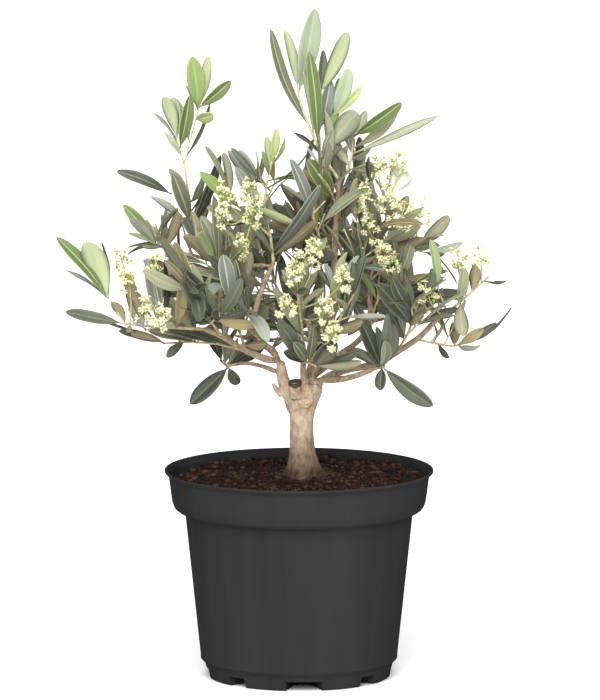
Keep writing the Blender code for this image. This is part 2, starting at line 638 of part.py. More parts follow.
def leaf_shape(foot, tip, face, width, bow, cuts, grow=0.0):
    """A long leaf from a point inside its twig, with a flat upper side and a keel below.

    `cuts` are the (share of length, share of width) where the outline bends; with none the leaf is a
    folded diamond. `grow` swells it for the touch test.
    """
    ahead = tip - foot
    length = ahead.length
    ahead = ahead / length
    up = (face - ahead * face.dot(ahead)).normalized()
    side = ahead.cross(up)
    if not cuts:
        middle = foot + ahead * length * DIAMOND_MIDDLE + up * (LEAF_THICK + grow)
        half = side * (width / 2 + grow)
        ends = foot - (ahead + up) * grow, tip + (ahead - up) * grow
        points = [ends[0], middle + half, middle - half, ends[1]]
        return points, [(0, 1, 2), (3, 2, 1), (0, 2, 3), (0, 3, 1)]
    points = [foot - ahead * grow]
    for share, wide in cuts:
        middle = foot + ahead * length * share + up * bow * length * math.sin(math.pi * share)
        half = width * wide / 2 + grow
        points.append(middle + side * half + up * grow)
        points.append(middle - side * half + up * grow)
        points.append(middle - up * (LEAF_THICK + grow))
    points.append(tip + ahead * grow)
    last = len(points) - 1
    faces = [(0, 1, 2), (0, 2, 3), (0, 3, 1)]
    faces += [(last, last - 2, last - 3), (last, last - 1, last - 2), (last, last - 3, last - 1)]
    for i in range(1, last - 3, 3):
        faces += [(i, i + 3, i + 4, i + 1), (i + 1, i + 4, i + 5, i + 2), (i + 2, i + 5, i + 3, i)]
    return points, faces


def flower_shape(foot, centre, half, grow=0.0):
    """A flower with its arm: a three-sided funnel from a point inside the stalk."""
    ahead = (centre - foot).normalized()
    side, other = across_of(ahead)
    points = [foot - ahead * grow]
    for k in range(TWIG_SIDES):
        turn = math.tau * k / TWIG_SIDES
        out = side * math.cos(turn) + other * math.sin(turn)
        points.append(centre + out * (half + grow) + ahead * grow)
    return points, [(0, 1, 2), (0, 2, 3), (0, 3, 1), (3, 2, 1)]


def turned(profile, sides, lumps=None):
    """A closed turned shape from (radius, height) points that start and end on the axis."""
    points, faces = [Vector((0, 0, profile[0][1]))], []
    for ring, (radius, height) in enumerate(profile[1:-1]):
        for k in range(sides):
            turn = math.tau * k / sides
            rise = lumps[ring][k] if lumps else 0.0
            points.append(Vector((radius * math.cos(turn), radius * math.sin(turn), height + rise)))
    points.append(Vector((0, 0, profile[-1][1])))
    last = len(points) - 1
    for k in range(sides):
        after = (k + 1) % sides
        faces.append((0, 1 + after, 1 + k))
        for ring in range(len(profile) - 3):
            a, b = 1 + ring * sides + k, 1 + ring * sides + after
            faces.append((a, b, b + sides, a + sides))
        faces.append((last - sides + k, last - sides + after, last))
    return points, faces


# ---------------------------------------------------------------- the touch test
class Taken:
    """What the plant already fills, to keep each new twig and leaf clear of it."""

    def __init__(self):
        self.low, self.high, self.trees, self.owners = [], [], [], []

    def add(self, shape, owner):
        points = np.array([tuple(p) for p in shape[0]])
        self.low.append(points.min(axis=0))
        self.high.append(points.max(axis=0))
        self.trees.append(BVHTree.FromPolygons(shape[0], shape[1]))
        self.owners.append(owner)

    def touches(self, shape, but=()):
        """True where the shape meets something that another owner holds."""
        points = np.array([tuple(p) for p in shape[0]])
        near = np.nonzero((np.array(self.low) <= points.max(axis=0)).all(axis=1)
                          & (np.array(self.high) >= points.min(axis=0)).all(axis=1))[0]
        tree = None
        for i in near:
            if self.owners[i] in but:
                continue
            tree = tree or BVHTree.FromPolygons(shape[0], shape[1])
            if self.trees[i].overlap(tree):
                return True
        return False


def in_crown(point):
    """True where a rule-grown shoot or leaf may be: in a lobe, out of the sky and not before a limb."""
    across, up = on_elevation(point)
    holes = [hole for *hole, depth in PARTINGS if point.y < depth]
    inside = any(((across - x) / w) ** 2 + ((up - y) / h) ** 2 <= 1 for x, y, w, h in LOBES)
    return inside and not any(((across - x) / w) ** 2 + ((up - y) / h) ** 2 <= 1
                              for x, y, w, h in (*SKY, *holes))


# ---------------------------------------------------------------- growth
class Tree:
    """Grows the limbs and the masses, each into its node's list of closed shapes."""

    def __init__(self):
        self.paths = {"trunk": Path([Vector((x, y, z)) for z, x, y, _ in TRUNK_RINGS], True)}
        self.reach = {"trunk": (TRUNK_WAIST, TRUNK_HEAD)}
        self.node_of = {"trunk": "trunk"}
        self.grown = {"trunk": []}
        self.taken = Taken()
        self.stems = {}
        self.left_out = []

    # ---- limbs
    def start_limb(self, name, node, parent, at, route, thick):
        """Notes a limb's smooth path and its radii, from its parent's axis."""
        foot = self.paths[parent].at(at)
        self.paths[name] = Path([foot] + [spot(*place) for place in route], name not in MASS_NAMES)
        self.reach[name] = (thick[0] / 2, thick[1] / 2)
        self.node_of[name] = node
        self.grown.setdefault(node, [])

    def radius(self, name, share):
        foot, tip = self.reach[name]
        return foot + (tip - foot) * share

    def clear_share(self, name, others):
        """The share of the path from which the limb stands clear of the others."""
        path, share = self.paths[name], 1.0
        while share > 0:
            here, radius = path.at(share), self.radius(name, share)
            for other in others:
                line = self.paths[other]
                count = round(line.length)
                for k in range(count + 1):
                    need = radius + self.radius(other, k / count) + 2 * GAP
                    if (line.at(k / count) - here).length < need:
                        return min(share + 1.0 / path.length, 0.9)
            share -= 1.0 / path.length
        return 0.0

    def limb_shape(self, name, first, last, sides, grow=0.0):
        path = self.paths[name]
        shares = path.rings(first, last)
        centres, aims = [path.at(s) for s in shares], [path.along(s) for s in shares]
        return tube(centres, [self.radius(name, s) + grow for s in shares], sides, aims)

    def lay_limb(self, name, parent, rivals, sides):
        """Adds a limb's collar to its parent's node and the rest to its own."""
        node, base = self.node_of[name], self.node_of[parent]
        if node == base:
            self.grown[node].append(self.limb_shape(name, 0.0, 1.0, sides))
            self.taken.add(self.limb_shape(name, 0.0, 1.0, sides, GAP), node)
            return
        first = self.clear_share(name, [parent] + rivals)
        self.grown[base].append(self.limb_shape(name, 0.0, first, sides))
        self.taken.add(self.limb_shape(name, 0.0, first, sides, GAP), base)
        start = first + GAP / self.paths[name].length
        self.grown[node].append(self.limb_shape(name, start, 1.0, sides))
        self.taken.add(self.limb_shape(name, start, 1.0, sides, GAP), node)

    def grow_limbs(self):
        """Every bough and every mass's stem, so that the foliage can keep clear of them all."""
        starts = [(limb.name, limb.node or limb.name, limb.on, limb.at, limb.route, limb.thick)
                  for limb in LIMBS]
        starts += [(mass.name, mass.name, mass.on, mass.at, mass.stem, (mass.thick, STEM_TIP))
                   for mass in MASSES]
        for start in starts:
            self.start_limb(*start)
        trunk = trunk_shape()
        self.grown["trunk"].append(trunk)
        self.taken.add(trunk, "trunk")
        for name, _, parent, at, _, _ in starts:
            rivals = [other for other, _, of, place, _, _ in starts
                      if other != name and of == parent
                      and abs(place - at) * self.paths[parent].length < RIVAL_REACH]
            self.lay_limb(name, parent, rivals, STEM_SIDES if name in MASS_NAMES else BOUGH_SIDES)

    # ---- foliage
    def add_twig(self, mass, share, tip, checked):
        """A side shoot's path from a share of the stem, or None where it would touch something."""
        foot, radius = self.stems[mass.name].at(share), self.radius(mass.name, share) * TWIG
        path = Path([foot, tip], False)
        radii = [radius, radius * TWIG_END]
        shape = tube([foot, tip], radii, TWIG_SIDES)
        if checked and self.taken.touches(tube([path.at(0.3), tip], [r + GAP for r in radii], TWIG_SIDES)):
            return None
        if not checked and self.taken.touches(shape, (mass.name, self.node_of[mass.on])):
            return None
        self.grown[mass.name].append(shape)
        self.taken.add(shape, mass.name)
        return path

    def add_leaf(self, mass, foot, tip, face, width, bow, cuts, strict):
        """Adds a leaf where it is clear. A strict leaf also keeps clear of its own mass."""
        if self.taken.touches(leaf_shape(foot, tip, face, width, bow, cuts, GAP), (mass.name,)):
            return False
        outer = leaf_shape(foot.lerp(tip, OUTER_SHARE), tip, face, width * 0.9, bow, cuts, 0.1)
        if strict and self.taken.touches(outer):
            return False
        shape = leaf_shape(foot, tip, face, width, bow, cuts)
        self.grown[mass.name].append(shape)
        self.taken.add(shape, mass.name)
        return True

    def set_leaf(self, mass, path, leaf):
        """A leaf with a set place. Its tip moves in depth until the leaf is clear."""
        foot = path.sunk(leaf.at)
        for strict in (True, False):
            for step in range(SHIFTS):
                depth = leaf.tip[2] + (step + 1) // 2 * (SHIFT if step % 2 else -SHIFT)
                tip = spot(leaf.tip[0], leaf.tip[1], depth)
                ahead = (tip - foot).normalized()
                front = Vector((0, -1, 0))
                face = (front - ahead * front.dot(ahead)).normalized()
                face = Quaternion(ahead, math.radians(leaf.face)) @ face
                if self.add_leaf(mass, foot, tip, face, leaf.width, leaf.bow, SET_CUTS, strict):
                    return
        self.left_out.append((mass.name, leaf.tip))

    def add_bloom(self, mass, foot, tip, pairs, rng):
        """A flower cluster: a thin stalk, opposite pairs of flowers on short arms, and one on top."""
        path = Path([foot, tip], False)
        stalk = tube([foot, tip], [STALK, STALK * TWIG_END], TWIG_SIDES)
        own = (mass.name,)
        if self.taken.touches(tube([foot, tip], [STALK + GAP] * 2, TWIG_SIDES), own):
            return False
        self.grown[mass.name].append(stalk)
        self.taken.add(stalk, mass.name)
        flowers = [(path.at(0.9), tip + path.along(1.0) * 0.5)]
        turn = rng.uniform(0, math.pi)
        for i in range(pairs):
            share = 0.94 - 0.5 * (i + 0.6) / pairs
            heart, ahead = path.at(share), path.along(share)
            side, other = across_of(ahead)
            arm = (side * math.cos(turn) + other * math.sin(turn)) * FLOWER_ARM * (i + 2) / (pairs + 1)
            for way in (1, -1):
                flowers.append((heart, heart + arm * way + ahead * FLOWER_ARM / 3))
            turn += math.pi / 2
        for foot_at, centre in flowers:
            if self.taken.touches(flower_shape(foot_at, centre, FLOWER, GAP), own):
                continue
            shape = flower_shape(foot_at, centre, FLOWER)
            self.grown[mass.name].append(shape)
            self.taken.add(shape, mass.name)
        return True

    def leafy(self, mass, path, length, rng):
        """Opposite pairs along a shoot, each pair a quarter turn from the last."""
        turn = rng.uniform(0, math.pi)
        for part in PAIRS:
            share = FIRST_PAIR + (1.0 - FIRST_PAIR) * part
            ahead = path.along(share)
            side, other = across_of(ahead)
            spread = math.radians(WIDE_SPREAD + (NARROW_SPREAD - WIDE_SPREAD) * part)
            size = length * (1.0 - 0.15 * part)
            for way in (1, -1):
                for attempt in range(3):
                    out = (side * math.cos(turn) + other * math.sin(turn)) * way
                    lean = spread + rng.uniform(-0.2, 0.2)
                    ahead_leaf = (ahead * math.cos(lean) + out * math.sin(lean)).normalized()
                    face = (ahead - ahead_leaf * ahead.dot(ahead_leaf)).normalized()
                    face = Quaternion(ahead_leaf, rng.uniform(-1.0, 1.0)) @ face
                    long = size * rng.uniform(0.82, 1.12) * (1.0 - 0.12 * attempt)
                    foot = path.sunk(share)
                    wide = long * rng.uniform(0.29, 0.37)
                    bow = rng.uniform(-0.02, 0.1)
                    tip = foot + ahead_leaf * long
                    inside = all(in_crown(foot.lerp(tip, part)) for part in (0.4, 0.7, 1.0))
                    if inside and self.add_leaf(mass, foot, tip, face, wide, bow, GROWN_CUTS, True):
                        break
                    turn += 0.35
            turn += math.pi / 2 + rng.uniform(-0.2, 0.2)

    def grow_set(self, mass):
        """The shoots, leaves and flowers of a mass that have a set place."""
        rng = random.Random(mass.seed)
        stem = self.stems[mass.name]
        shoots = []
        for shoot in mass.shoots:
            path = self.add_twig(mass, shoot.at, spot(*shoot.tip), False)
            if path is None:
                self.left_out.append((mass.name, shoot.tip))
                continue
            shoots.append((shoot, path))
        for leaf in mass.leaves:
            self.set_leaf(mass, stem, leaf)
        for shoot, path in shoots:
            for leaf in shoot.leaves:
                self.set_leaf(mass, path, leaf)
        for bloom in mass.sprays:
            self.add_bloom(mass, stem.at(bloom.at), spot(*bloom.tip), bloom.pairs, rng)
        for shoot, path in shoots:
            for bloom in shoot.blooms:
                self.add_bloom(mass, path.at(bloom.at), spot(*bloom.tip), bloom.pairs, rng)

    def grow_by_rule(self, mass):
        """Side shoots at golden turns along the stem, then a leafy end."""
        rng = random.Random(mass.seed * 7919)
        stem = self.stems[mass.name]
        turn = rng.uniform(0, math.tau)
        for i in range(mass.grown):
            share = 0.25 + 0.65 * (i + 0.5) / max(1, mass.grown)
            for attempt in range(4):
                ahead = stem.along(share)
                side, other = across_of(ahead)
                out = side * math.cos(turn) + other * math.sin(turn)
                growth = (ahead * 0.75 + out + Vector((0, 0, UPRIGHT))).normalized()
                long = mass.twig * rng.uniform(0.75, 1.15) * (1.15 - 0.45 * share)
                tip = stem.at(share) + growth * long
                turn += GOLDEN_TURN if attempt == 0 else GOLDEN_TURN / 3
                if not in_crown(tip):
                    continue
                path = self.add_twig(mass, share, tip, True)
                if path is None:
                    continue
                if i < mass.blooms:
                    top = path.at(0.8) + (path.along(0.8) + Vector((0, 0, 0.8))).normalized() * CLUSTER
                    self.add_bloom(mass, path.at(0.8), top, GROWN_FLOWERS, rng)
                self.leafy(mass, path, mass.leaf, rng)
                break
        if mass.grown:
            self.leafy(mass, StemEnd(stem), mass.leaf, rng)

    def grow(self):
        """The whole plant above the soil, node by node."""
        self.grow_limbs()
        self.stems = {mass.name: self.paths[mass.name] for mass in MASSES}
        for mass in MASSES:
            self.grow_set(mass)
        for mass in MASSES:
            self.grow_by_rule(mass)
        return self.grown


class StemEnd:
    """The outer part of a stem, read like a path of its own."""

    FIRST = 0.62

    def __init__(self, stem):
        self.stem = stem

    def at(self, share):
        return self.stem.at(self.FIRST + (1 - self.FIRST) * share)

    def sunk(self, share):
        return self.stem.sunk(self.FIRST + (1 - self.FIRST) * share)

    def along(self, share):
        return self.stem.along(self.FIRST + (1 - self.FIRST) * share)


MASS_NAMES = {mass.name for mass in MASSES}


def trunk_shape():
    """The trunk's closed tube, from its flat cut on the soil to the fork."""
    points, faces = [], []
    for height, across, depth, half in TRUNK_RINGS:
        for k in range(TRUNK_SIDES):
            turn = math.tau * k / TRUNK_SIDES
            out = Vector((math.cos(turn), TRUNK_DEPTH * math.sin(turn), 0))
            points.append(Vector((across, depth, height)) + out * half)
    for i in range(len(TRUNK_RINGS) - 1):
        for k in range(TRUNK_SIDES):
            a, b = i * TRUNK_SIDES + k, i * TRUNK_SIDES + (k + 1) % TRUNK_SIDES
            faces.append((a, b, b + TRUNK_SIDES, a + TRUNK_SIDES))
    faces.append(tuple(reversed(range(TRUNK_SIDES))))
    faces.append(tuple(range(len(points) - TRUNK_SIDES, len(points))))
    return points, faces


# ---------------------------------------------------------------- objects
def material(name, colour, roughness):
    made = bpy.data.materials.new(name)
    made.use_nodes = True
    shader = made.node_tree.nodes["Principled BSDF"]
    shader.inputs["Base Color"].default_value = (*colour, 1.0)
    shader.inputs["Roughness"].default_value = roughness
    shader.inputs["Metallic"].default_value = 0.0
    return made


def mesh_object(name, shape, finish, collection=None):
    """A closed shape in millimetres as an object in metres."""
    mesh = bpy.data.meshes.new(name)
    mesh.from_pydata([tuple(p * MM) for p in shape[0]], [], shape[1])
    mesh.validate()
    if finish:
        mesh.materials.append(finish)
    made = bpy.data.objects.new(name, mesh)
    (collection or bpy.context.scene.collection).objects.link(made)
    return made


def evaluated_mesh(thing):
    bpy.context.view_layer.update()
    graph = bpy.context.evaluated_depsgraph_get()
    return bpy.data.meshes.new_from_object(thing.evaluated_get(graph))


def is_closed(mesh):
    """True where every edge has two faces."""
    edges = np.zeros(len(mesh.loops), np.int32)
    mesh.loops.foreach_get("edge_index", edges)
    return len(edges) > 0 and (np.bincount(edges, minlength=len(mesh.edges)) == 2).all()


def islands(mesh):
    """The faces of each connected body of the mesh, with the volume it encloses."""
    mesh.calc_loop_triangles()
    lead = list(range(len(mesh.vertices)))

    def root(i):
        while lead[i] != i:
            lead[i] = lead[lead[i]]
            i = lead[i]
        return i

    for edge in mesh.edges:
        lead[root(edge.vertices[0])] = root(edge.vertices[1])
    volumes = {}
    for triangle in mesh.loop_triangles:
        a, b, c = (mesh.vertices[i].co for i in triangle.vertices)
        body = root(triangle.vertices[0])
        volumes[body] = volumes.get(body, 0.0) + a.dot(b.cross(c)) / 6
    return root, volumes


def keep_largest(mesh):
    """Drops loose scraps and fills sealed hollows: only the largest outer skin stays."""
    root, volumes = islands(mesh)
    best = max(volumes, key=volumes.get)
    if len(volumes) == 1:
        return mesh
    faces = [tuple(p.vertices) for p in mesh.polygons if root(p.vertices[0]) == best]
    used = sorted({i for face in faces for i in face})
    place = {old: new for new, old in enumerate(used)}
    kept = bpy.data.meshes.new(mesh.name)
    kept.from_pydata([mesh.vertices[i].co for i in used], [], [[place[i] for i in face] for face in faces])
    return kept


def join_shapes(name, shapes, finish):
    """One closed object from overlapping closed shapes, by a Boolean union on a collection."""
    body = mesh_object(name, shapes[0], None)
    if len(shapes) > 1:
        parts = bpy.data.collections.new(name + "_parts")
        bpy.context.scene.collection.children.link(parts)
        for i, shape in enumerate(shapes[1:]):
            mesh_object(f"{name}_piece_{i}", shape, None, parts)
        union = body.modifiers.new("join", "BOOLEAN")
        union.operation = "UNION"
        union.operand_type = "COLLECTION"
        union.collection = parts
        best = 0.0
        for solver in ("EXACT", "MANIFOLD"):
            union.solver = solver
            mesh = evaluated_mesh(body)
            root, volumes = islands(mesh)
            if is_closed(mesh) and max(volumes.values()) > best * 1.01:
                best = max(volumes.values())
                joined = keep_largest(mesh)
        body.modifiers.remove(union)
        body.data = joined
        for piece in list(parts.objects):
            bpy.data.objects.remove(piece)
        bpy.data.collections.remove(parts)
    body.data.materials.clear()
    body.data.materials.append(finish)
    return body


# ---------------------------------------------------------------- pot and soil
def pot_profile():
    """(radius, height) of the pot's section, up the outside and down the inside."""
    outer = [
        (0.0, 0.0), (FOOT_RADIUS, 0.0), (66.8, 10.5), (69.4, 13.5),
        (80.5, 117.8), (86.9, 119.6), (89.5, 124.0),
        (92.2, 143.8), (RIM_RADIUS, 145.4), (94.6, POT_HEIGHT),
    ]
    inner = [
        (92.6, 146.9), (90.7, 143.4), (88.2, 125.6), (85.2, 121.4), (79.1, 119.2),
        (68.0, 15.0), (65.0, FLOOR_TOP), (0.0, FLOOR_TOP),
    ]
    return outer + inner


def cutter(name, shape):
    made = mesh_object(name, shape, None)
    made.hide_render = True
    made.display_type = "WIRE"
    return made


def box_shape(inner, outer, half, low, high, turn):
    """A radial box from inner to outer radius, turned about the axis."""
    points = []
    for height in (low, high):
        for along, side in ((inner, -half), (outer, -half), (outer, half), (inner, half)):
            points.append(Vector((along * math.cos(turn) - side * math.sin(turn),
                                  along * math.sin(turn) + side * math.cos(turn), height)))
    faces = [(3, 2, 1, 0), (4, 5, 6, 7), (0, 1, 5, 4), (1, 2, 6, 5), (2, 3, 7, 6), (3, 0, 4, 7)]
    return points, faces


def make_pot(finish):
    """The pot, with notches in its foot and a drain hole in the roof of each."""
    pot = mesh_object("pot", turned(pot_profile(), POT_SIDES), finish)
    for i in range(FEET):
        turn = -math.pi / 2 + NOTCH_TURN + math.tau * i / FEET
        half = NOTCH_WIDTHS[i % 2] / 2
        notch = cutter(f"notch_{i}", box_shape(NOTCH_START, RIM_RADIUS, half, -5.0, NOTCH_HEIGHT, turn))
        middle = Vector((DRAIN_AT * math.cos(turn), DRAIN_AT * math.sin(turn), 0))
        hole = cutter(f"drain_{i}", tube([middle, middle + Vector((0, 0, 20))], [DRAIN_RADIUS] * 2, 8))
        for tool in (notch, hole):
            cut = pot.modifiers.new(tool.name, "BOOLEAN")
            cut.operation = "DIFFERENCE"
            cut.solver = "EXACT"
            cut.object = tool
    return pot


def make_soil(finish):
    """The soil, clear of the pot's inside, flat under the trunk and lumpy around it."""
    rng = random.Random(5)
    outer = [(65.0, FLOOR_TOP), (68.0, 15.0), (79.1, 119.2), (85.2, 121.4), (88.2, 125.6)]
    profile = [(0.0, FLOOR_TOP + GAP)]
    profile += [(radius - 0.55, height + GAP) for radius, height in outer]
    profile += [(89.3, SOIL_TOP - 2.5), (76.0, SOIL_TOP), (54.0, SOIL_TOP), (34.0, SOIL_TOP),
                (17.5, SOIL_TOP), (0.0, SOIL_TOP)]
    lumps = []
    for radius, height in profile[1:-1]:
        lumpy = height > SOIL_TOP - 3 and radius > 20
        lumps.append([rng.uniform(-SOIL_LUMP, SOIL_LUMP) if lumpy else 0.0 for _ in range(SOIL_SIDES)])
    return mesh_object("soil", turned(profile, SOIL_SIDES, lumps), finish)


def main():
    for thing in list(bpy.data.objects):
        bpy.data.objects.remove(thing)
    bark = material("bark", (0.42, 0.33, 0.22), 0.85)
    twig_bark = material("bough_bark", (0.36, 0.24, 0.17), 0.8)
    foliage = material("olive_foliage", (0.15, 0.22, 0.11), 0.5)
    make_pot(material("pot_plastic", (0.04, 0.04, 0.042), 0.55))
    make_soil(material("potting_soil", (0.05, 0.022, 0.014), 0.95))
    boughs = {limb.name for limb in LIMBS}
    tree = Tree()
    for name, shapes in tree.grow().items():
        finish = bark if name == "trunk" else twig_bark if name in boughs else foliage
        join_shapes(name, shapes, finish)
    for name, tip in tree.left_out:
        print("no room for:", name, tip)


main()
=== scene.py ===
"""Looks of a potted young olive tree in flower: bark, leaves, blossom, crumbly soil and the pot.

The limbs and the masses of foliage grow from the same named places and by the same seeded rule as the
solids they stand for, and the rule is then carried on to finer shoots, leaves and flowers. Places in
the crown are (across, up, depth) in millimetres: across and up as on an elevation that is drawn from
slightly above, and depth towards the back. Meshes are made in metres.
"""

import logging
import math
import random
from dataclasses import dataclass, field
from enum import Enum
from typing import Callable, Iterable, Optional, Sequence

import bpy
import numpy as np
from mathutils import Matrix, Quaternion, Vector, noise
from mathutils.bvhtree import BVHTree
from mathutils.kdtree import KDTree


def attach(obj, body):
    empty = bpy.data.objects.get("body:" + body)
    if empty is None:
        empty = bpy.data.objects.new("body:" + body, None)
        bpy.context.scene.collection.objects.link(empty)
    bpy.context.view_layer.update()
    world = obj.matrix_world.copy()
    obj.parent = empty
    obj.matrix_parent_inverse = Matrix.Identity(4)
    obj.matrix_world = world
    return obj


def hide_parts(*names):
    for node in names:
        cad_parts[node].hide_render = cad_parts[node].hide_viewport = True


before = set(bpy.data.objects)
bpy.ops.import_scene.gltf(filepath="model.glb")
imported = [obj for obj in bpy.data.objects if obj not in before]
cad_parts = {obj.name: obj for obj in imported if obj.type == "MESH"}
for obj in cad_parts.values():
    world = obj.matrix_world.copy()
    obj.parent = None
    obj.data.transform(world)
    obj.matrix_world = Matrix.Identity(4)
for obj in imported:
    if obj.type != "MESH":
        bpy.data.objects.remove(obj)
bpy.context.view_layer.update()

logging.basicConfig(level=logging.INFO, format="%(message)s")
log = logging.getLogger("potted_olive")

MM = 0.001
GAP = 0.3                       # air between neighbouring solids
VIEW_TILT = math.radians(8.6)   # the elevation looks down by this much
GOLDEN_TURN = math.radians(137.5)

Spot = tuple[float, float, float]
Faces = list[tuple[int, ...]]
Shape = tuple[list[Vector], Faces]      # a plain shape for the touch test
Solid = tuple[np.ndarray, Faces]        # a shape to be seen, its points one row each
Colour = tuple[int, int, int]


# ---------------------------------------------------------------- colours
def linear(colour: Colour) -> tuple[float, float, float, float]:
    """A screen colour of 0 to 255 as the linear colour a shader takes.

    Args:
        colour: red, green and blue.

    Returns:
        Linear red, green, blue and a full alpha.
    """
    parts = [channel / 255 for channel in colour]
    made = [c / 12.92 if c <= 0.04045 else ((c + 0.055) / 1.055) ** 2.4 for c in parts]
    return made[0], made[1], made[2], 1.0


class Tone(Enum):
    """Leaf tones of an olive: upper side, underside and midrib."""

    OLD = ((107, 110, 87), (138, 135, 110), (144, 145, 117))
    DEEP = ((65, 69, 56), (98, 98, 81), (99, 103, 82))
    GREY = ((115, 121, 110), (145, 146, 130), (152, 156, 141))
    OLIVE = ((115, 106, 74), (133, 122, 94), (144, 135, 102))
    FRESH = ((100, 116, 67), (156, 163, 122), (142, 154, 104))
    YOUNG = ((122, 139, 94), (162, 170, 134), (156, 167, 120))
    LIME = ((148, 160, 104), (170, 175, 134), (174, 183, 130))
    SILVER = ((128, 139, 113), (147, 151, 125), (150, 160, 133))
    BLEACHED = ((238, 238, 226), (236, 236, 226), (204, 205, 190))

    @property
    def upper(self) -> Colour:
        """Colour of the upper side."""
        return self.value[0]

    @property
    def under(self) -> Colour:
        """Colour of the underside."""
        return self.value[1]

    @property
    def rib(self) -> Colour:
        """Colour of the midrib and the edge."""
        return self.value[2]


OLD, DEEP, GREY, OLIVE, FRESH, YOUNG, LIME, SILVER, BLEACHED = Tone


class Spray(Enum):
    """The mix of tones that a mass's rule-grown leaves are dealt."""

    INNER = (OLD, OLIVE, DEEP, OLD, DEEP, GREY, OLD, FRESH)
    # DARK deals deeper tones to the masses inside, at the back and low in the crown: partly the darker old
    # leaves, partly painted shade of the crown's inside.
    DARK = (DEEP, OLD, DEEP, OLIVE, DEEP)
    OUTER = (OLD, GREY, DEEP, OLD, FRESH, OLIVE)


# ---------------------------------------------------------------- what grows where
# The trunk's rings: height, across, depth, half width.
TRUNK_FOOT = 141.3
TRUNK_WAIST = 8.3
TRUNK_HEAD = 11.8
TRUNK_RINGS = (
    (TRUNK_FOOT, 3.6, 0.0, 15.2),
    (145.0, 3.5, 0.0, 13.4),
    (150.0, 3.2, 0.0, 11.4),
    (157.0, 2.6, 0.0, 9.4),
    (166.0, 2.0, 0.0, 8.5),
    (182.0, 1.6, 0.0, TRUNK_WAIST),
    (189.0, 2.2, 0.0, 8.9),
    (196.0, 3.6, 0.0, 10.4),
    (203.0, 4.6, 0.0, TRUNK_HEAD),
    (208.5, 5.4, 1.0, 11.0),
)
# Sky that shows through the crown: across, up, half width, half height on the elevation.
SKY = (
    (-5, 222, 7, 13),
    (36, 246, 8, 9),
    (-43, 378, 15, 11),
    (-8, 366, 10, 12),
    (-52, 388, 10, 12),
    (-9, 347, 5, 12),
    (20, 341, 6, 6),
    (-69, 287, 9, 9),
    (-117, 304, 12, 6),
    (80, 285, 5, 9),
    (84, 282, 6, 9),
    (118, 274, 7, 9),
    (40, 214, 12, 3),
    (-30, 222, 10, 3),
    (-75, 215, 26, 14),
    (85, 212, 22, 10),
    (96, 352, 12, 16),
)
# Where the leaves part before a limb: across, up, half width, half height, and the limb's depth.
PARTINGS = (
    (-25, 277, 8, 27, 8),
    (-16, 301, 14, 14, 5),
    (1, 325, 13, 19, -2),
    (-24, 335, 6, 20, 5),
    (25, 324, 6, 26, 3),
    (14, 351, 14, 11, -8),
    (50, 264, 5, 17, 14),
    (2, 238, 6, 24, -36),
)
# Where rule-grown leaves may reach: lobes of the crown on the elevation.
LOBES = (
    (-8, 283, 92, 62),
    (-95, 284, 38, 45),
    (94, 275, 34, 34),
    (24, 350, 34, 45),
    (-74, 372, 24, 40),
    (-44, 334, 42, 38),
)


@dataclass(frozen=True)
class Limb:
    """A tapering limb from a place on another.

    `thick` is its diameter at its foot and at its tip, and `node` names the node it is fused to.
    """

    name: str
    on: str
    at: float
    thick: tuple[float, float]
    route: tuple[Spot, ...]
    node: str = ""


@dataclass(frozen=True)
class Leaf:
    """A leaf with a set place: its foot along the shoot, its tip, its width and the turn of its face.

    `bow` arches it, and `sweep` curves it sideways.
    """

    at: float
    tip: Spot
    width: float
    tone: Tone = OLD
    face: float = 30.0
    bow: float = 0.06
    sweep: float = 0.0


@dataclass(frozen=True)
class Bloom:
    """A flower cluster with a set place: its foot along the shoot, its tip, its pairs of flowers.

    `opened` is the share of its buds that are open.
    """

    at: float
    tip: Spot
    pairs: int = 2
    opened: float = 0.75


@dataclass(frozen=True)
class Shoot:
    """A side shoot of a mass with a set place: where it leaves the stem, its tip and what it bears."""

    at: float
    tip: Spot
    leaves: tuple[Leaf, ...] = ()
    blooms: tuple[Bloom, ...] = ()


@dataclass(frozen=True)
class Mass:
    """One mass of foliage: a stem grown on from a limb, what is set on it and what the rule grows.

    `grown` is the number of rule-grown side shoots, `twig` and `leaf` their and their leaves' usual
    lengths, and `blooms` how many of them carry flowers. `spray` is its mix of leaf tones, and
    `finer` how many further shoots the finer growth tries. A `green` stem is of this year's growth.
    """

    name: str
    on: str
    at: float
    seed: int
    stem: tuple[Spot, ...]
    thick: float = 2.2
    grown: int = 5
    twig: float = 26.0
    leaf: float = 42.0
    blooms: int = 0
    leaves: tuple[Leaf, ...] = ()
    sprays: tuple[Bloom, ...] = ()
    shoots: tuple[Shoot, ...] = ()
    spray: Spray = Spray.INNER
    finer: int = 4
    green: bool = False


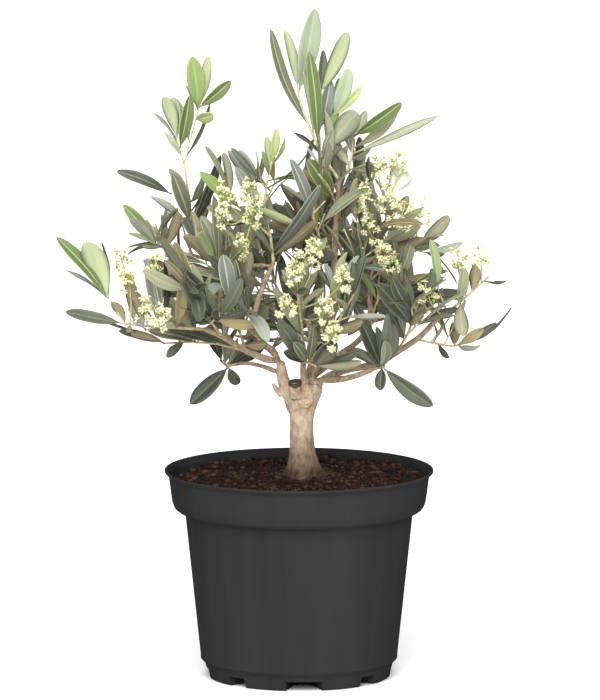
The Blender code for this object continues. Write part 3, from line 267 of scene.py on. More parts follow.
LIMBS = (
    Limb("left_arm", on="trunk", at=0.62, thick=(15.0, 6.0), node="trunk",
         route=((-5, 196, -1), (-11, 208, -2), (-13, 221, -2))),
    Limb("right_knee", on="trunk", at=0.8, thick=(14.0, 9.0), node="trunk",
         route=((9, 201, 0), (13, 208, 0))),
    Limb("low_left_bough", on="left_arm", at=1.0, thick=(5.2, 3.6),
         route=((-26, 224, -8), (-41, 231, -14), (-54, 239, -20), (-66, 244, -25))),
    Limb("back_left_bough", on="left_arm", at=0.8, thick=(3.6, 2.4),
         route=((-26, 218, 12), (-38, 220, 22), (-46, 219, 28))),
    Limb("left_leader", on="left_arm", at=1.0, thick=(5.2, 3.4),
         route=((-19, 229, 6), (-26, 235, 9), (-30, 249, 12), (-30, 260, 13), (-25, 275, 14),
                (-18, 291, 14))),
    Limb("crest_bough", on="left_leader", at=0.97, thick=(3.2, 2.6),
         route=((-30, 289, 20), (-41, 288, 26), (-63, 293, 33), (-77, 297, 35))),
    Limb("centre_bough", on="trunk", at=0.92, thick=(5.0, 3.4),
         route=((3, 212, -8), (3, 222, -13), (3, 234, -19))),
    Limb("low_right_bough", on="right_knee", at=1.0, thick=(5.0, 3.6),
         route=((30, 209, -9), (42, 212, -12), (52, 216, -15))),
    Limb("right_bough", on="right_knee", at=1.0, thick=(5.4, 3.8),
         route=((32, 215, 5), (55, 220, 3), (69, 228, -1), (84, 238, -6), (96, 250, -9))),
    Limb("inner_right_bough", on="trunk", at=0.93, thick=(5.2, 3.2),
         route=((9, 210, 9), (18, 217, 13), (27, 225, 17), (41, 235, 21), (49, 247, 23), (50, 265, 23),
                (50, 279, 21))),
    Limb("right_leader", on="trunk", at=0.93, thick=(6.0, 3.2),
         route=((9, 210, 0), (15, 228, 3), (22, 251, 5), (25, 291, 8), (27, 331, 8), (28, 349, 7))),
    Limb("back_bough", on="trunk", at=0.93, thick=(5.6, 3.4),
         route=((6, 210, 14), (10, 226, 34), (8, 244, 56), (2, 262, 74))),
)

MASSES = (
    Mass("top_shoot", on="right_leader", at=1.0, seed=3, thick=2.8, grown=0, green=True,
         stem=((16, 366, 3), (8, 384, 0), (1, 402, -3), (-1, 413, -4)), leaves=(
             Leaf(0.6, (-20, 454, -8), 8.5, OLD, 25, 0.0, sweep=-0.06),
             Leaf(0.98, (-10, 453, -2), 8, YOUNG, 160), Leaf(0.95, (11, 468, -6), 15, SILVER, 12),
             Leaf(0.4, (7, 438, -16), 10, FRESH, 20), Leaf(0.5, (3, 424, -12), 5.5, YOUNG, 155),
             Leaf(0.15, (18, 397, -6), 8, SILVER, 155), Leaf(0.3, (-4, 382, 8), 6, DEEP, 55)), shoots=(
             Shoot(0.34, (14, 410, 4), leaves=(
                 Leaf(0.9, (17, 440, 12), 6.5, DEEP, 25), Leaf(1.0, (34, 452, -4), 11.5, YOUNG, 160),
                 Leaf(0.35, (22, 419, 8), 10, GREY, 20))),
             Shoot(0.26, (24, 395, 8), leaves=(
                 Leaf(0.95, (35, 427, 6), 13, SILVER, 25), Leaf(1.0, (44, 414, 12), 6.5, LIME, 20),
                 Leaf(0.2, (41, 396, -8), 16, SILVER, 172), Leaf(0.5, (28, 421, 14), 9, FRESH, 30),
                 Leaf(0.6, (22, 404, 24), 11, GREY, 40))))),
    Mass("top_right", on="right_leader", at=1.0, seed=5, thick=2.4, grown=0,
         stem=((34, 354, 9), (37, 366, 11), (38, 381, 12)), leaves=(
             Leaf(0.98, (72, 403, 2), 11, FRESH, 15), Leaf(0.7, (70, 400, 16), 10, OLD, 40),
             Leaf(0.6, (98, 394, 14), 6.5, SILVER, 150, 0.0), Leaf(0.9, (47, 398, 18), 8, SILVER, 160),
             Leaf(0.35, (24, 374, 16), 8, SILVER, 170), Leaf(0.6, (32, 383, 22), 9, GREY, 40),
             Leaf(0.25, (47, 340, 4), 6.5, DEEP, 10), Leaf(0.3, (62, 360, 6), 8, OLD, 30),
             Leaf(0.5, (52, 376, 36), 10, OLD, 60))),
    Mass("upper_middle", on="right_leader", at=0.86, seed=7, grown=1, twig=18, leaf=32, finer=1,
         stem=((24, 337, -2), (20, 345, -12), (14, 352, -22)), leaves=(
             Leaf(0.25, (6, 363, -16), 13, FRESH, 20), Leaf(0.45, (2, 355, -2), 9, OLIVE, 165),
             Leaf(0.9, (20, 375, -34), 8, OLD, 50))),
    Mass("centre_high", on="right_leader", at=0.66, seed=11, grown=3, twig=22, leaf=44, finer=2,
         stem=((18, 300, -4), (12, 314, -10), (8, 330, -16)), leaves=(
             Leaf(0.8, (-6, 363, -22), 9, GREY, 25), Leaf(0.1, (16, 291, -30), 10, DEEP, 30))),
    Mass("centre_right", on="right_leader", at=0.52, seed=13, grown=4, leaf=44, finer=2,
         stem=((32, 279, -6), (40, 294, -12), (44, 312, -18))),
    Mass("centre_back", on="right_leader", at=0.6, seed=17, grown=4, twig=28, leaf=48, spray=Spray.DARK,
         stem=((24, 294, 22), (20, 306, 36), (16, 322, 48))),
    Mass("left_top", on="left_leader", at=1.0, seed=19, thick=2.6, grown=1, twig=24, leaf=38, finer=2,
         green=True,
         stem=((-20, 309, 13), (-25, 328, 12), (-22, 350, 10), (-19, 362, 8)), leaves=(
             Leaf(0.98, (-16, 385, 6), 7, LIME, 25), Leaf(0.9, (-23, 380, 14), 6, LIME, 160),
             Leaf(0.95, (-10, 378, 2), 5, YOUNG, 60), Leaf(0.86, (-26, 369, -4), 5, YOUNG, 30),
             Leaf(0.8, (4, 338, -8), 6, FRESH, 35, -0.45), Leaf(0.72, (7, 369, 16), 4, DEEP, 60),
             Leaf(0.3, (-45, 358, -8), 10, GREY, 25), Leaf(0.1, (15, 345, -30), 10, GREY, 24),
             Leaf(0.06, (12, 319, -24), 9, OLIVE, 165), Leaf(0.04, (27, 315, -22), 5, DEEP, 40),
             Leaf(0.02, (-34, 288, -12), 7, LIME, 25), Leaf(0.08, (-39, 323, -18), 5, OLD, 30)), shoots=(
             Shoot(0.48, (-32, 346, 16), leaves=(
                 Leaf(0.5, (-50, 370, 18), 10, GREY, 150), Leaf(0.7, (-42, 370, 6), 9, GREY),
                 Leaf(1.0, (-34, 362, 24), 6, OLIVE, 60), Leaf(1.0, (-25, 367, 20), 5, FRESH, 40))),
             Shoot(0.25, (-50, 337, 4), leaves=(
                 Leaf(0.7, (-70, 354, -10), 9.5, FRESH, 20), Leaf(1.0, (-66, 373, 8), 6.5, OLD, 60),
                 Leaf(0.95, (-53, 368, 0), 7, OLD, 150), Leaf(0.3, (-65, 330, 10), 10, OLD, 25),
                 Leaf(0.4, (-56, 318, 16), 9, DEEP, 40))),
             Shoot(0.12, (-37, 325, -16), blooms=(
                 Bloom(0.7, (-54, 346, -26)), Bloom(1.0, (-37, 347, -30)), Bloom(0.95, (-55, 329, -38)),
                 Bloom(0.9, (-30, 333, -42)), Bloom(0.8, (-40, 308, -48)))))),
    Mass("crest", on="crest_bough", at=1.0, seed=23, thick=2.6, grown=0, green=True,
         stem=((-77, 316, 37), (-77, 330, 38), (-79, 347, 37), (-81, 361, 36)), leaves=(
             Leaf(0.35, (-89, 354, 28), 11, OLD, 20), Leaf(0.3, (-105, 338, 40), 6, GREY, 150),
             Leaf(0.45, (-57, 366, 46), 7, DEEP, 55), Leaf(0.25, (-55, 367, 24), 8, DEEP, 25),
             Leaf(0.1, (-63, 344, 30), 8, OLIVE, 160), Leaf(0.3, (-64, 343, 34), 8, OLIVE, 160),
             Leaf(0.55, (-68, 352, 60), 9, OLD, 40), Leaf(0.5, (-92, 358, 62), 9, OLD, 50)), shoots=(
             Shoot(0.97, (-87, 381, 34), leaves=(
                 Leaf(0.98, (-95, 408, 28), 10.5, YOUNG, 160), Leaf(0.7, (-103, 397, 44), 4, SILVER, 60),
                 Leaf(0.3, (-95, 383, 30), 5, SILVER), Leaf(0.85, (-89, 408, 40), 9, SILVER, 15),
                 Leaf(0.55, (-77, 409, 30), 10, FRESH, 12))),
             Shoot(1.0, (-70, 402, 35), leaves=(
                 Leaf(0.93, (-75, 436, 28), 13, FRESH, 12), Leaf(1.0, (-64, 437, 42), 8, YOUNG, 160),
                 Leaf(1.0, (-48, 419, 34), 9, FRESH, 15), Leaf(0.35, (-89, 408, 46), 8, SILVER, 155),
                 Leaf(0.9, (-80, 416, 44), 5, YOUNG, 50), Leaf(0.75, (-60, 395, 24), 9, LIME, 15),
                 Leaf(0.1, (-63, 404, 50), 4.5, DEEP, 40))))),
    Mass("wing", on="crest_bough", at=1.0, seed=29, grown=1, twig=20, leaf=34, finer=1,
         stem=((-86, 298, 36), (-95, 301, 36), (-102, 304, 36)), leaves=(
             Leaf(0.98, (-124, 332, 32), 9, FRESH, 20), Leaf(0.95, (-119, 322, 24), 8.5, GREY, 155),
             Leaf(0.9, (-121, 312, 28), 4, OLD, 50), Leaf(0.8, (-97, 325, 26), 7, OLD, 35),
             Leaf(0.7, (-85, 327, 30), 9, OLIVE, 160), Leaf(0.4, (-92, 282, 26), 9, OLIVE, 150)), shoots=(
             Shoot(0.75, (-90, 341, 54), leaves=(
                 Leaf(1.0, (-129, 356, 50), 8.5, DEEP, 30, 0.1),)),)),
    Mass("left_inner", on="left_leader", at=0.48, seed=31, grown=3, leaf=43, finer=2,
         stem=((-38, 266, 8), (-50, 276, 4), (-58, 290, 0)), leaves=(
             Leaf(0.9, (-81, 310, -10), 9.5, OLIVE, 160), Leaf(0.6, (-64, 296, -14), 7, DEEP, 30),
             Leaf(0.95, (-60, 338, -6), 9, OLD, 30), Leaf(0.3, (-44, 275, -30), 7.5, OLD, 30))),
    Mass("left_tip", on="low_left_bough", at=1.0, seed=37, thick=2.8, grown=1, twig=20, leaf=34, finer=1,
         stem=((-88, 245, -34), (-106, 246, -40), (-124, 248, -46)), leaves=(
             Leaf(0.99, (-163, 256, -50), 9, DEEP, 30, -0.03), Leaf(0.95, (-130, 263, -54), 8, OLIVE, 150),
             Leaf(0.85, (-120, 283, -52), 10, OLIVE, 158), Leaf(0.75, (-115, 270, -60), 9, OLIVE, 160),
             Leaf(0.55, (-106, 294, -54), 11, GREY, 20), Leaf(0.5, (-94, 291, -48), 7, DEEP, 40),
             Leaf(0.35, (-81, 279, -58), 9, OLIVE, 25), Leaf(0.9, (-117, 242, -56), 6, OLIVE, 150)),
         sprays=(
             Bloom(0.66, (-105, 265, -74), 2, 0.95), Bloom(0.5, (-96, 260, -78), 2, 0.95),
             Bloom(0.45, (-99, 294, -64), 1, 0.3), Bloom(0.8, (-125, 297, -44), 2, 0.1),
             Bloom(0.9, (-120, 281, -48), 1, 0.1)), shoots=(
             Shoot(0.95, (-134, 267, -50), leaves=(
                 Leaf(0.95, (-169, 308, -54), 10, FRESH, 40), Leaf(1.0, (-148, 305, -60), 17, YOUNG, 165),
                 Leaf(0.9, (-163, 285, -44), 4, GREY, 55), Leaf(0.98, (-138, 305, -40), 4.5, DEEP, 50))),)),
    Mass("left_low", on="low_left_bough", at=0.42, seed=41, grown=1, twig=22, leaf=34, finer=1,
         stem=((-58, 234, -8), (-78, 235, -2), (-96, 234, 2)), leaves=(
             Leaf(1.0, (-127, 243, 4), 7, DEEP, 30), Leaf(0.98, (-118, 241, -10), 6.5, OLIVE, 160),
             Leaf(1.0, (-137, 249, -2), 3.5, DEEP, 50, 0.0), Leaf(0.75, (-93, 224, -8), 7, DEEP),
             Leaf(0.35, (-91, 243, -10), 8, DEEP, 40), Leaf(0.6, (-106, 243, -4), 9, OLD, 40),
             Leaf(0.15, (-75, 244, 0), 8, DEEP, 30), Leaf(0.6, (-104, 262, 10), 9, OLD, 40))),
    Mass("left_droop", on="back_left_bough", at=1.0, seed=43, thick=2.4, grown=1, twig=24, leaf=34, finer=2,
         stem=((-50, 218, 34), (-50, 217, 42), (-56, 222, 52)), leaves=(
             Leaf(0.45, (-77, 191, 34), 12.5, DEEP, 15, -0.02), Leaf(0.55, (-43, 205, 44), 8.5, DEEP, 15),
             Leaf(0.6, (-32, 241, 56), 10, DEEP, 35), Leaf(0.3, (-23, 234, 44), 8, DEEP, 30),
             Leaf(0.75, (-51, 241, 50), 9, OLD, 30), Leaf(0.9, (-65, 242, 60), 9, DEEP))),
    Mass("left_back", on="left_leader", at=0.42, seed=47, thick=2.4, twig=30, leaf=46, spray=Spray.DARK,
         stem=((-42, 252, 30), (-52, 260, 48), (-62, 270, 66))),
    Mass("left_front", on="low_left_bough", at=0.78, seed=53, grown=3, twig=22, leaf=42, finer=2,
         spray=Spray.DARK,
         stem=((-62, 250, -38), (-68, 262, -48), (-74, 276, -56)), leaves=(
             Leaf(0.2, (-81, 286, -62), 13, DEEP, 22), Leaf(0.5, (-75, 290, -44), 8, OLD, 30))),
    Mass("front_left", on="low_left_bough", at=0.45, seed=59, grown=2, twig=20, leaf=40, finer=1,
         stem=((-42, 244, -32), (-36, 252, -44), (-34, 264, -54)), leaves=(
             Leaf(0.2, (-22, 260, -50), 10, DEEP, 155), Leaf(0.3, (-54, 265, -56), 9, OLIVE, 150),
             Leaf(0.1, (-23, 234, -44), 8, OLIVE, 150), Leaf(0.5, (-44, 277, -64), 8, OLD, 30)), shoots=(
             Shoot(0.55, (-49, 264, -58), leaves=(
                 Leaf(1.0, (-53, 296, -62), 12, GREY, 22), Leaf(0.9, (-37, 283, -54), 7, DEEP, 40))),)),
    Mass("fork_leaves", on="centre_bough", at=0.6, seed=137, thick=2.6, grown=0,
         stem=((5, 221, -22), (12, 218, -28)), leaves=(
             Leaf(0.8, (26, 236, -30), 13, DEEP, 20), Leaf(0.9, (25, 232, -42), 12, DEEP, 150),
             Leaf(0.97, (42, 229, -32), 9, DEEP), Leaf(0.75, (44, 221, -50), 8, OLD, 140),
             Leaf(0.6, (10, 246, -38), 8, OLD, 25), Leaf(0.45, (-15, 250, -48), 12, DEEP, 15),
             Leaf(0.2, (-6, 233, -34), 6, LIME, 25), Leaf(0.3, (-11, 228, -20), 9, DEEP, 30),
             Leaf(0.55, (-4, 235, -44), 8, OLD, 30))),
    Mass("front_middle", on="centre_bough", at=1.0, seed=61, thick=2.4, grown=1, twig=16, leaf=32, finer=0,
         green=True,
         stem=((2, 246, -32), (0, 262, -46), (-2, 280, -60)), leaves=(
             Leaf(0.1, (-18, 273, -58), 9, OLD, 25), Leaf(0.12, (-14, 256, -50), 8, DEEP, 40),
             Leaf(0.3, (13, 278, -40), 9, DEEP, 30)), sprays=(
             Bloom(0.9, (-1, 297, -84), 3, 0.9), Bloom(0.7, (10, 305, -76), 2, 0.9),
             Bloom(0.55, (31, 287, -80), 2, 0.95), Bloom(0.5, (-9, 266, -82), 1, 0.8),
             Bloom(0.4, (19, 264, -80), 1, 0.9), Bloom(0.2, (41, 258, -76), 2, 0.9),
             Bloom(0.1, (12, 233, -66), 1, 0.9))),
    Mass("front_right", on="centre_bough", at=0.7, seed=67, grown=2, twig=20, leaf=40, finer=1,
         stem=((16, 236, -34), (28, 250, -50), (38, 268, -60)), leaves=(
             Leaf(0.15, (27, 239, -26), 9, DEEP), Leaf(0.3, (37, 261, -44), 11, DEEP, 30),
             Leaf(0.2, (33, 253, -20), 9, OLD, 35), Leaf(0.85, (37, 291, -64), 8, DEEP, 30),
             Leaf(0.5, (44, 249, -62), 9, OLIVE, 150)), sprays=(
             Bloom(0.35, (25, 248, -78), 2, 0.95),)),
    Mass("right_node", on="low_right_bough", at=1.0, seed=71, thick=2.6, grown=0,
         stem=((56, 217, -19), (60, 217, -26)), leaves=(
             Leaf(0.6, (44, 248, -22), 12, DEEP, 20), Leaf(0.95, (54, 246, -30), 6.5, DEEP),
             Leaf(1.0, (66, 248, -24), 12, DEEP, 150), Leaf(0.75, (57, 201, -30), 9, DEEP, 20),
             Leaf(0.9, (94, 190, -26), 12.5, DEEP, 20), Leaf(0.5, (34, 229, -34), 9, DEEP, 150),
             Leaf(0.3, (39, 262, -12), 10, DEEP, 25), Leaf(0.4, (61, 255, -42), 10, DEEP, 30),
             Leaf(0.6, (60, 236, -50), 9, OLD, 40))),
    Mass("right_low", on="right_bough", at=0.8, seed=73, thick=2.0, grown=1, twig=20, leaf=32, finer=1,
         stem=((96, 234, -2), (108, 232, 4), (116, 234, 8)), leaves=(
             Leaf(0.45, (106, 224, -8), 6, DEEP), Leaf(0.85, (130, 245, 2), 8, OLIVE, 20),
             Leaf(0.95, (139, 249, 4), 8, DEEP, 25), Leaf(1.0, (150, 260, 10), 4, DEEP, 60, 0.1),
             Leaf(0.8, (108, 249, 14), 9, OLIVE, 150), Leaf(0.85, (128, 232, 30), 8, OLD, 40))),
    Mass("right_tip", on="right_bough", at=1.0, seed=79, thick=2.6, grown=0,
         stem=((106, 257, -10), (119, 268, -11), (133, 281, -12)), leaves=(
             Leaf(0.66, (124, 289, -16), 9, OLIVE, 160), Leaf(0.4, (115, 287, -20), 9, OLD, 25),
             Leaf(0.9, (146, 278, -14), 4, DEEP, 50), Leaf(0.45, (115, 239, -22), 11, OLD, 160),
             Leaf(0.55, (112, 292, 10), 8, OLD, 40)), sprays=(
             Bloom(0.5, (111, 300, -10), 1, 0.15), Bloom(0.85, (126, 300, -8), 1, 0.15),
             Bloom(0.15, (88, 276, -40), 2, 0.4), Bloom(0.1, (97, 265, -36), 1, 0.4)), shoots=(
             Shoot(0.2, (97, 274, -12), leaves=(
                 Leaf(0.95, (92, 307, -12), 8, YOUNG, 25), Leaf(0.8, (100, 270, -24), 6, OLIVE, 150),
                 Leaf(0.9, (95, 298, -2), 6, FRESH, 150))),)),
    Mass("right_front", on="right_bough", at=0.62, seed=83, grown=2, twig=20, leaf=42, finer=2,
         spray=Spray.DARK,
         stem=((76, 240, -20), (80, 252, -32), (84, 264, -40)), leaves=(
             Leaf(0.6, (54, 276, -50), 14, DEEP, 25), Leaf(0.8, (88, 260, -50), 8, OLD, 150),
             Leaf(0.3, (63, 256, -36), 12, DEEP, 30))),
    Mass("right_inner", on="inner_right_bough", at=0.7, seed=89, thick=2.0, grown=3, twig=24, leaf=43,
         finer=2,
         stem=((58, 270, 16), (66, 274, 8), (74, 276, 0)), leaves=(
             Leaf(0.25, (84, 254, -4), 14, DEEP, 20), Leaf(0.5, (96, 262, 16), 10, OLD, 40))),
    Mass("bloom_top", on="inner_right_bough", at=1.0, seed=97, thick=2.4, grown=2, twig=20, leaf=34,
         finer=1,
         stem=((54, 294, 17), (59, 310, 12), (62, 328, 8), (64, 342, 6)), leaves=(
             Leaf(0.95, (74, 357, 0), 17, BLEACHED, 172, 0.25), Leaf(0.6, (88, 330, 4), 6, YOUNG, 20),
             Leaf(0.55, (84, 327, -6), 6, LIME, 30), Leaf(0.5, (44, 340, 4), 8),
             Leaf(0.4, (86, 317, 0), 8, OLD, 150), Leaf(0.3, (89, 308, 6), 8, OLIVE, 155),
             Leaf(0.7, (65, 334, 6), 9, OLD, 30), Leaf(0.6, (77, 338, 14), 9, OLIVE, 150)), sprays=(
             Bloom(0.98, (56, 365, -4), 2, 0.5), Bloom(0.95, (68, 366, 4), 1, 0.1),
             Bloom(0.8, (47, 342, -24), 2, 0.9), Bloom(0.75, (61, 345, -26), 2, 0.9),
             Bloom(0.6, (74, 331, -22), 2, 0.9), Bloom(0.5, (47, 323, -34), 2, 0.9),
             Bloom(0.3, (57, 304, -44), 2, 0.9), Bloom(0.25, (66, 296, -42), 2, 0.8))),
    Mass("right_high", on="inner_right_bough", at=1.0, seed=101, grown=1, twig=20, leaf=34, finer=2,
         stem=((62, 288, 25), (74, 296, 26), (86, 304, 24)), leaves=(
             Leaf(0.98, (106, 324, 22), 11, OLD, 155), Leaf(0.6, (72, 273, 30), 8, OLIVE, 150),
             Leaf(0.8, (80, 270, 34), 8, OLIVE, 150)), sprays=(
             Bloom(0.9, (88, 335, 14), 2, 0.2), Bloom(0.7, (80, 303, -6), 2, 0.5),
             Bloom(0.8, (80, 312, 36), 2, 0.6))),
    Mass("right_back", on="inner_right_bough", at=0.55, seed=103, thick=2.4, twig=30, leaf=46,
         spray=Spray.DARK,
         stem=((58, 256, 42), (66, 264, 58), (72, 272, 74))),
    Mass("back_left", on="back_bough", at=1.0, seed=107, thick=2.4, grown=4, twig=28, leaf=48, blooms=1,
         spray=Spray.OUTER,
         stem=((-14, 268, 82), (-28, 276, 88), (-40, 284, 94))),
    Mass("back_middle", on="back_bough", at=1.0, seed=109, thick=2.4, grown=4, twig=28, leaf=48, blooms=1,
         spray=Spray.OUTER,
         stem=((2, 276, 82), (2, 290, 90), (0, 304, 96))),
    Mass("back_right", on="back_bough", at=0.86, seed=113, thick=2.4, grown=6, twig=28, leaf=46,
         spray=Spray.OUTER,
         stem=((20, 262, 80), (32, 270, 88), (44, 280, 94))),
    Mass("back_low", on="back_bough", at=0.6, seed=127, thick=2.0, grown=3, spray=Spray.DARK,
         stem=((-2, 240, 66), (-8, 244, 80), (-12, 250, 92))),
    Mass("back_high", on="right_leader", at=0.8, seed=131, thick=2.0, grown=3, twig=22, leaf=40,
         spray=Spray.OUTER,
         stem=((30, 332, 30), (30, 340, 42), (28, 348, 52))),
)


# ---------------------------------------------------------------- places and curves
def spot(across: float, up: float, depth: float) -> Vector:
    """A place in space, from its place on the elevation and its depth."""
    return Vector((across, depth, (up - depth * math.sin(VIEW_TILT)) / math.cos(VIEW_TILT)))


def on_elevation(point: Vector) -> tuple[float, float]:
    """(across, up) of a place in space on the elevation."""
    return point.x, point.z * math.cos(VIEW_TILT) + point.y * math.sin(VIEW_TILT)


def across_of(direction: Vector, reference: Vector = Vector((0, 1, 0))) -> tuple[Vector, Vector]:
    """Two directions square to this one and to each other.

    Args:
        direction: the direction they are square to.
        reference: what the first is square to as well; the plane of the elevation's own normal.

    Returns:
        The two directions.
    """
    side = direction.cross(reference)
    if side.length < 0.2:
        side = direction.cross(Vector((1, 0, 0)))
    side.normalize()
    return side, side.cross(direction).normalized()


def swung(side: Vector | np.ndarray, other: Vector | np.ndarray, turn: float) -> Vector | np.ndarray:
    """The direction at this angle from the first of two towards the second."""
    return side * math.cos(turn) + other * math.sin(turn)


def outward(ahead: Vector, turn: float) -> Vector:
    """The direction square to this one, at this angle round it."""
    return swung(*across_of(ahead), turn)


def unit(direction: np.ndarray) -> np.ndarray:
    """The same direction, one long."""
    return direction / np.linalg.norm(direction)


def in_any(place: tuple[float, float], rounds: Iterable[Sequence[float]]) -> bool:
    """Whether a place is in any of these rounds: across, up, half width, half height."""
    return any(((place[0] - x) / w) ** 2 + ((place[1] - y) / h) ** 2 <= 1 for x, y, w, h in rounds)


class Path:
    """A line through its points, smooth or straight from point to point, read by share of its length."""

    STEP = 3.0
    SEGMENT = 16.0
    SUNK = 1.6

    def __init__(self, points: Sequence[Vector], smooth: bool) -> None:
        """Lays the line.

        Args:
            points: the places it runs through.
            smooth: whether it bends smoothly between them.
        """
        self.smooth = smooth
        self.points = [points[0].copy()]
        ends = [points[0] * 2 - points[1]] + list(points) + [points[-1] * 2 - points[-2]]
        for before, start, end, after in zip(ends, ends[1:], ends[2:], ends[3:]):
            count = max(1, round((end - start).length / self.STEP)) if smooth else 1
            for i in range(1, count + 1):
                self.points.append(self.between(before, start, end, after, i / count))
        self.lengths = [0.0]
        for a, b in zip(self.points, self.points[1:]):
            self.lengths.append(self.lengths[-1] + (b - a).length)
        self.length = self.lengths[-1]

    @staticmethod
    def between(before: Vector, start: Vector, end: Vector, after: Vector, t: float) -> Vector:
        """The place at share t from start to end, with the bend that the places around them give.

        Args:
            before: the place before it.
            start: where it starts.
            end: where it ends.
            after: the place after it.
            t: the share of the way.

        Returns:
            The place.
        """
        pull_in = (end - before) * 0.5
        pull_out = (after - start) * 0.5
        return (start * (2 * t**3 - 3 * t**2 + 1) + pull_in * (t**3 - 2 * t**2 + t)
                + end * (3 * t**2 - 2 * t**3) + pull_out * (t**3 - t**2))

    def at(self, share: float) -> Vector:
        """The place at this share of the length.

        Args:
            share: the share, from 0 to 1.

        Returns:
            The place.
        """
        wanted = min(max(share, 0.0), 1.0) * self.length
        for i, here in enumerate(self.lengths[1:]):
            if here >= wanted - 1e-9:
                span = here - self.lengths[i]
                return self.points[i].lerp(self.points[i + 1], (wanted - self.lengths[i]) / span)
        return self.points[-1].copy()

    def along(self, share: float) -> Vector:
        """The direction of growth at this share of the length."""
        return (self.at(share + 0.02) - self.at(share - 0.02)).normalized()

    def sunk(self, share: float) -> Vector:
        """The place at this share, held back from the very end so that a foot there is well inside."""
        return self.at(min(share, 1.0 - self.SUNK / self.length))

    def rings(self, first: float, last: float) -> list[float]:
        """Shares for the rings of a tube: even ones on a smooth line, else one at each bend.

        Args:
            first: where the tube starts.
            last: where it ends.

        Returns:
            The shares, in order.
        """
        if self.smooth:
            count = max(1, round(self.length * (last - first) / self.SEGMENT))
            return [first + (last - first) * i / count for i in range(count + 1)]
        bends = [here / self.length for here in self.lengths[1:-1]]
        margin = 1.0 / self.length
        return [first] + [share for share in bends if first + margin < share < last - margin] + [last]


class StemEnd:
    """The outer part of a stem, read like a path of its own."""

    FIRST = 0.62

    def __init__(self, stem: Path) -> None:
        """Takes the stem whose end it is."""
        self.stem = stem

    def outer(self, share: float) -> float:
        """The share of the whole stem."""
        return self.FIRST + (1 - self.FIRST) * share

    def sunk(self, share: float) -> Vector:
        """The place at this share of the end, held back from the very end."""
        return self.stem.sunk(self.outer(share))

    def along(self, share: float) -> Vector:
        """The direction of growth there."""
        return self.stem.along(self.outer(share))


# ---------------------------------------------------------------- plain shapes for the touch test
def ring_faces(rings: int, sides: int) -> Faces:
    """The faces between rings of points, as along a tube.

    Args:
        rings: how many rings there are.
        sides: how many points each has.

    Returns:
        The faces, counted from the first ring's first point.
    """
    faces: Faces = []
    for start in range(0, (rings - 1) * sides, sides):
        for k in range(sides):
            a, b = start + k, start + (k + 1) % sides
            faces.append((a, b, b + sides, a + sides))
    return faces


def flat_ended(rings: int, sides: int) -> Faces:
    """The same, with a flat face at either end."""
    last = (rings - 1) * sides
    return ring_faces(rings, sides) + [tuple(reversed(range(sides))), tuple(range(last, last + sides))]


def plain_tube(centres: Sequence[Vector], radii: Sequence[float], sides: int,
               aims: Optional[Sequence[Vector]] = None) -> Shape:
    """A closed tube with flat ends.

    Args:
        centres: the places it runs through.
        radii: its radius at each.
        sides: how many sides it has.
        aims: the directions its rings face.

    Returns:
        Its points and faces.
    """
    points: list[Vector] = []
    side = None
    for i, centre in enumerate(centres):
        ahead = aims[i] if aims else (centres[-1] - centres[0]).normalized()
        side = across_of(ahead)[0] if side is None else (side - ahead * side.dot(ahead)).normalized()
        other = ahead.cross(side)
        points += [centre + swung(side, other, math.tau * k / sides) * radii[i] for k in range(sides)]
    return points, flat_ended(len(centres), sides)


@dataclass(frozen=True)
class Blade:
    """A leaf's place: its foot, its tip, the way its upper side faces, its width and its arch."""

    foot: Vector
    tip: Vector
    face: Vector
    width: float
    bow: float

    THICK = 1.0
    MIDDLE = 0.52

    def plain(self, cuts: tuple, grow: float = 0.0) -> Shape:
        """The leaf's plain shape for the touch test.

        Args:
            cuts: (share of length, share of width) where the outline bends; none for a folded diamond.
            grow: how far it is swollen.

        Returns:
            Its points and faces.
        """
        ahead = self.tip - self.foot
        length = ahead.length
        ahead = ahead / length
        up = (self.face - ahead * self.face.dot(ahead)).normalized()
        side = ahead.cross(up)
        if not cuts:
            middle = self.foot + ahead * length * self.MIDDLE + up * (self.THICK + grow)
            half = side * (self.width / 2 + grow)
            ends = self.foot - (ahead + up) * grow, self.tip + (ahead - up) * grow
            return [ends[0], middle + half, middle - half, ends[1]], [(0, 1, 2), (3, 2, 1), (0, 2, 3),
                                                                      (0, 3, 1)]
        points = [self.foot - ahead * grow]
        for share, wide in cuts:
            middle = self.foot + ahead * length * share + up * self.bow * length * math.sin(math.pi * share)
            half = self.width * wide / 2 + grow
            points.append(middle + side * half + up * grow)
            points.append(middle - side * half + up * grow)
            points.append(middle - up * (self.THICK + grow))
        points.append(self.tip + ahead * grow)
        last = len(points) - 1
        faces: Faces = [(0, 1, 2), (0, 2, 3), (0, 3, 1)]
        faces += [(last, last - 2, last - 3), (last, last - 1, last - 2), (last, last - 3, last - 1)]
        for i in range(1, last - 3, 3):
            faces += [(i, i + 3, i + 4, i + 1), (i + 1, i + 4, i + 5, i + 2), (i + 2, i + 5, i + 3, i)]
        return points, faces


def plain_flower(foot: Vector, centre: Vector, half: float, grow: float = 0.0) -> Shape:
    """A flower's plain funnel for the touch test.

    Args:
        foot: where it starts.
        centre: the middle of its open end.
        half: the radius of that end.
        grow: how far it is swollen.

    Returns:
        Its points and faces.
    """
    ahead = (centre - foot).normalized()
    points = [foot - ahead * grow]
    for k in range(3):
        points.append(centre + outward(ahead, math.tau * k / 3) * (half + grow) + ahead * grow)
    return points, [(0, 1, 2), (0, 2, 3), (0, 3, 1), (3, 2, 1)]


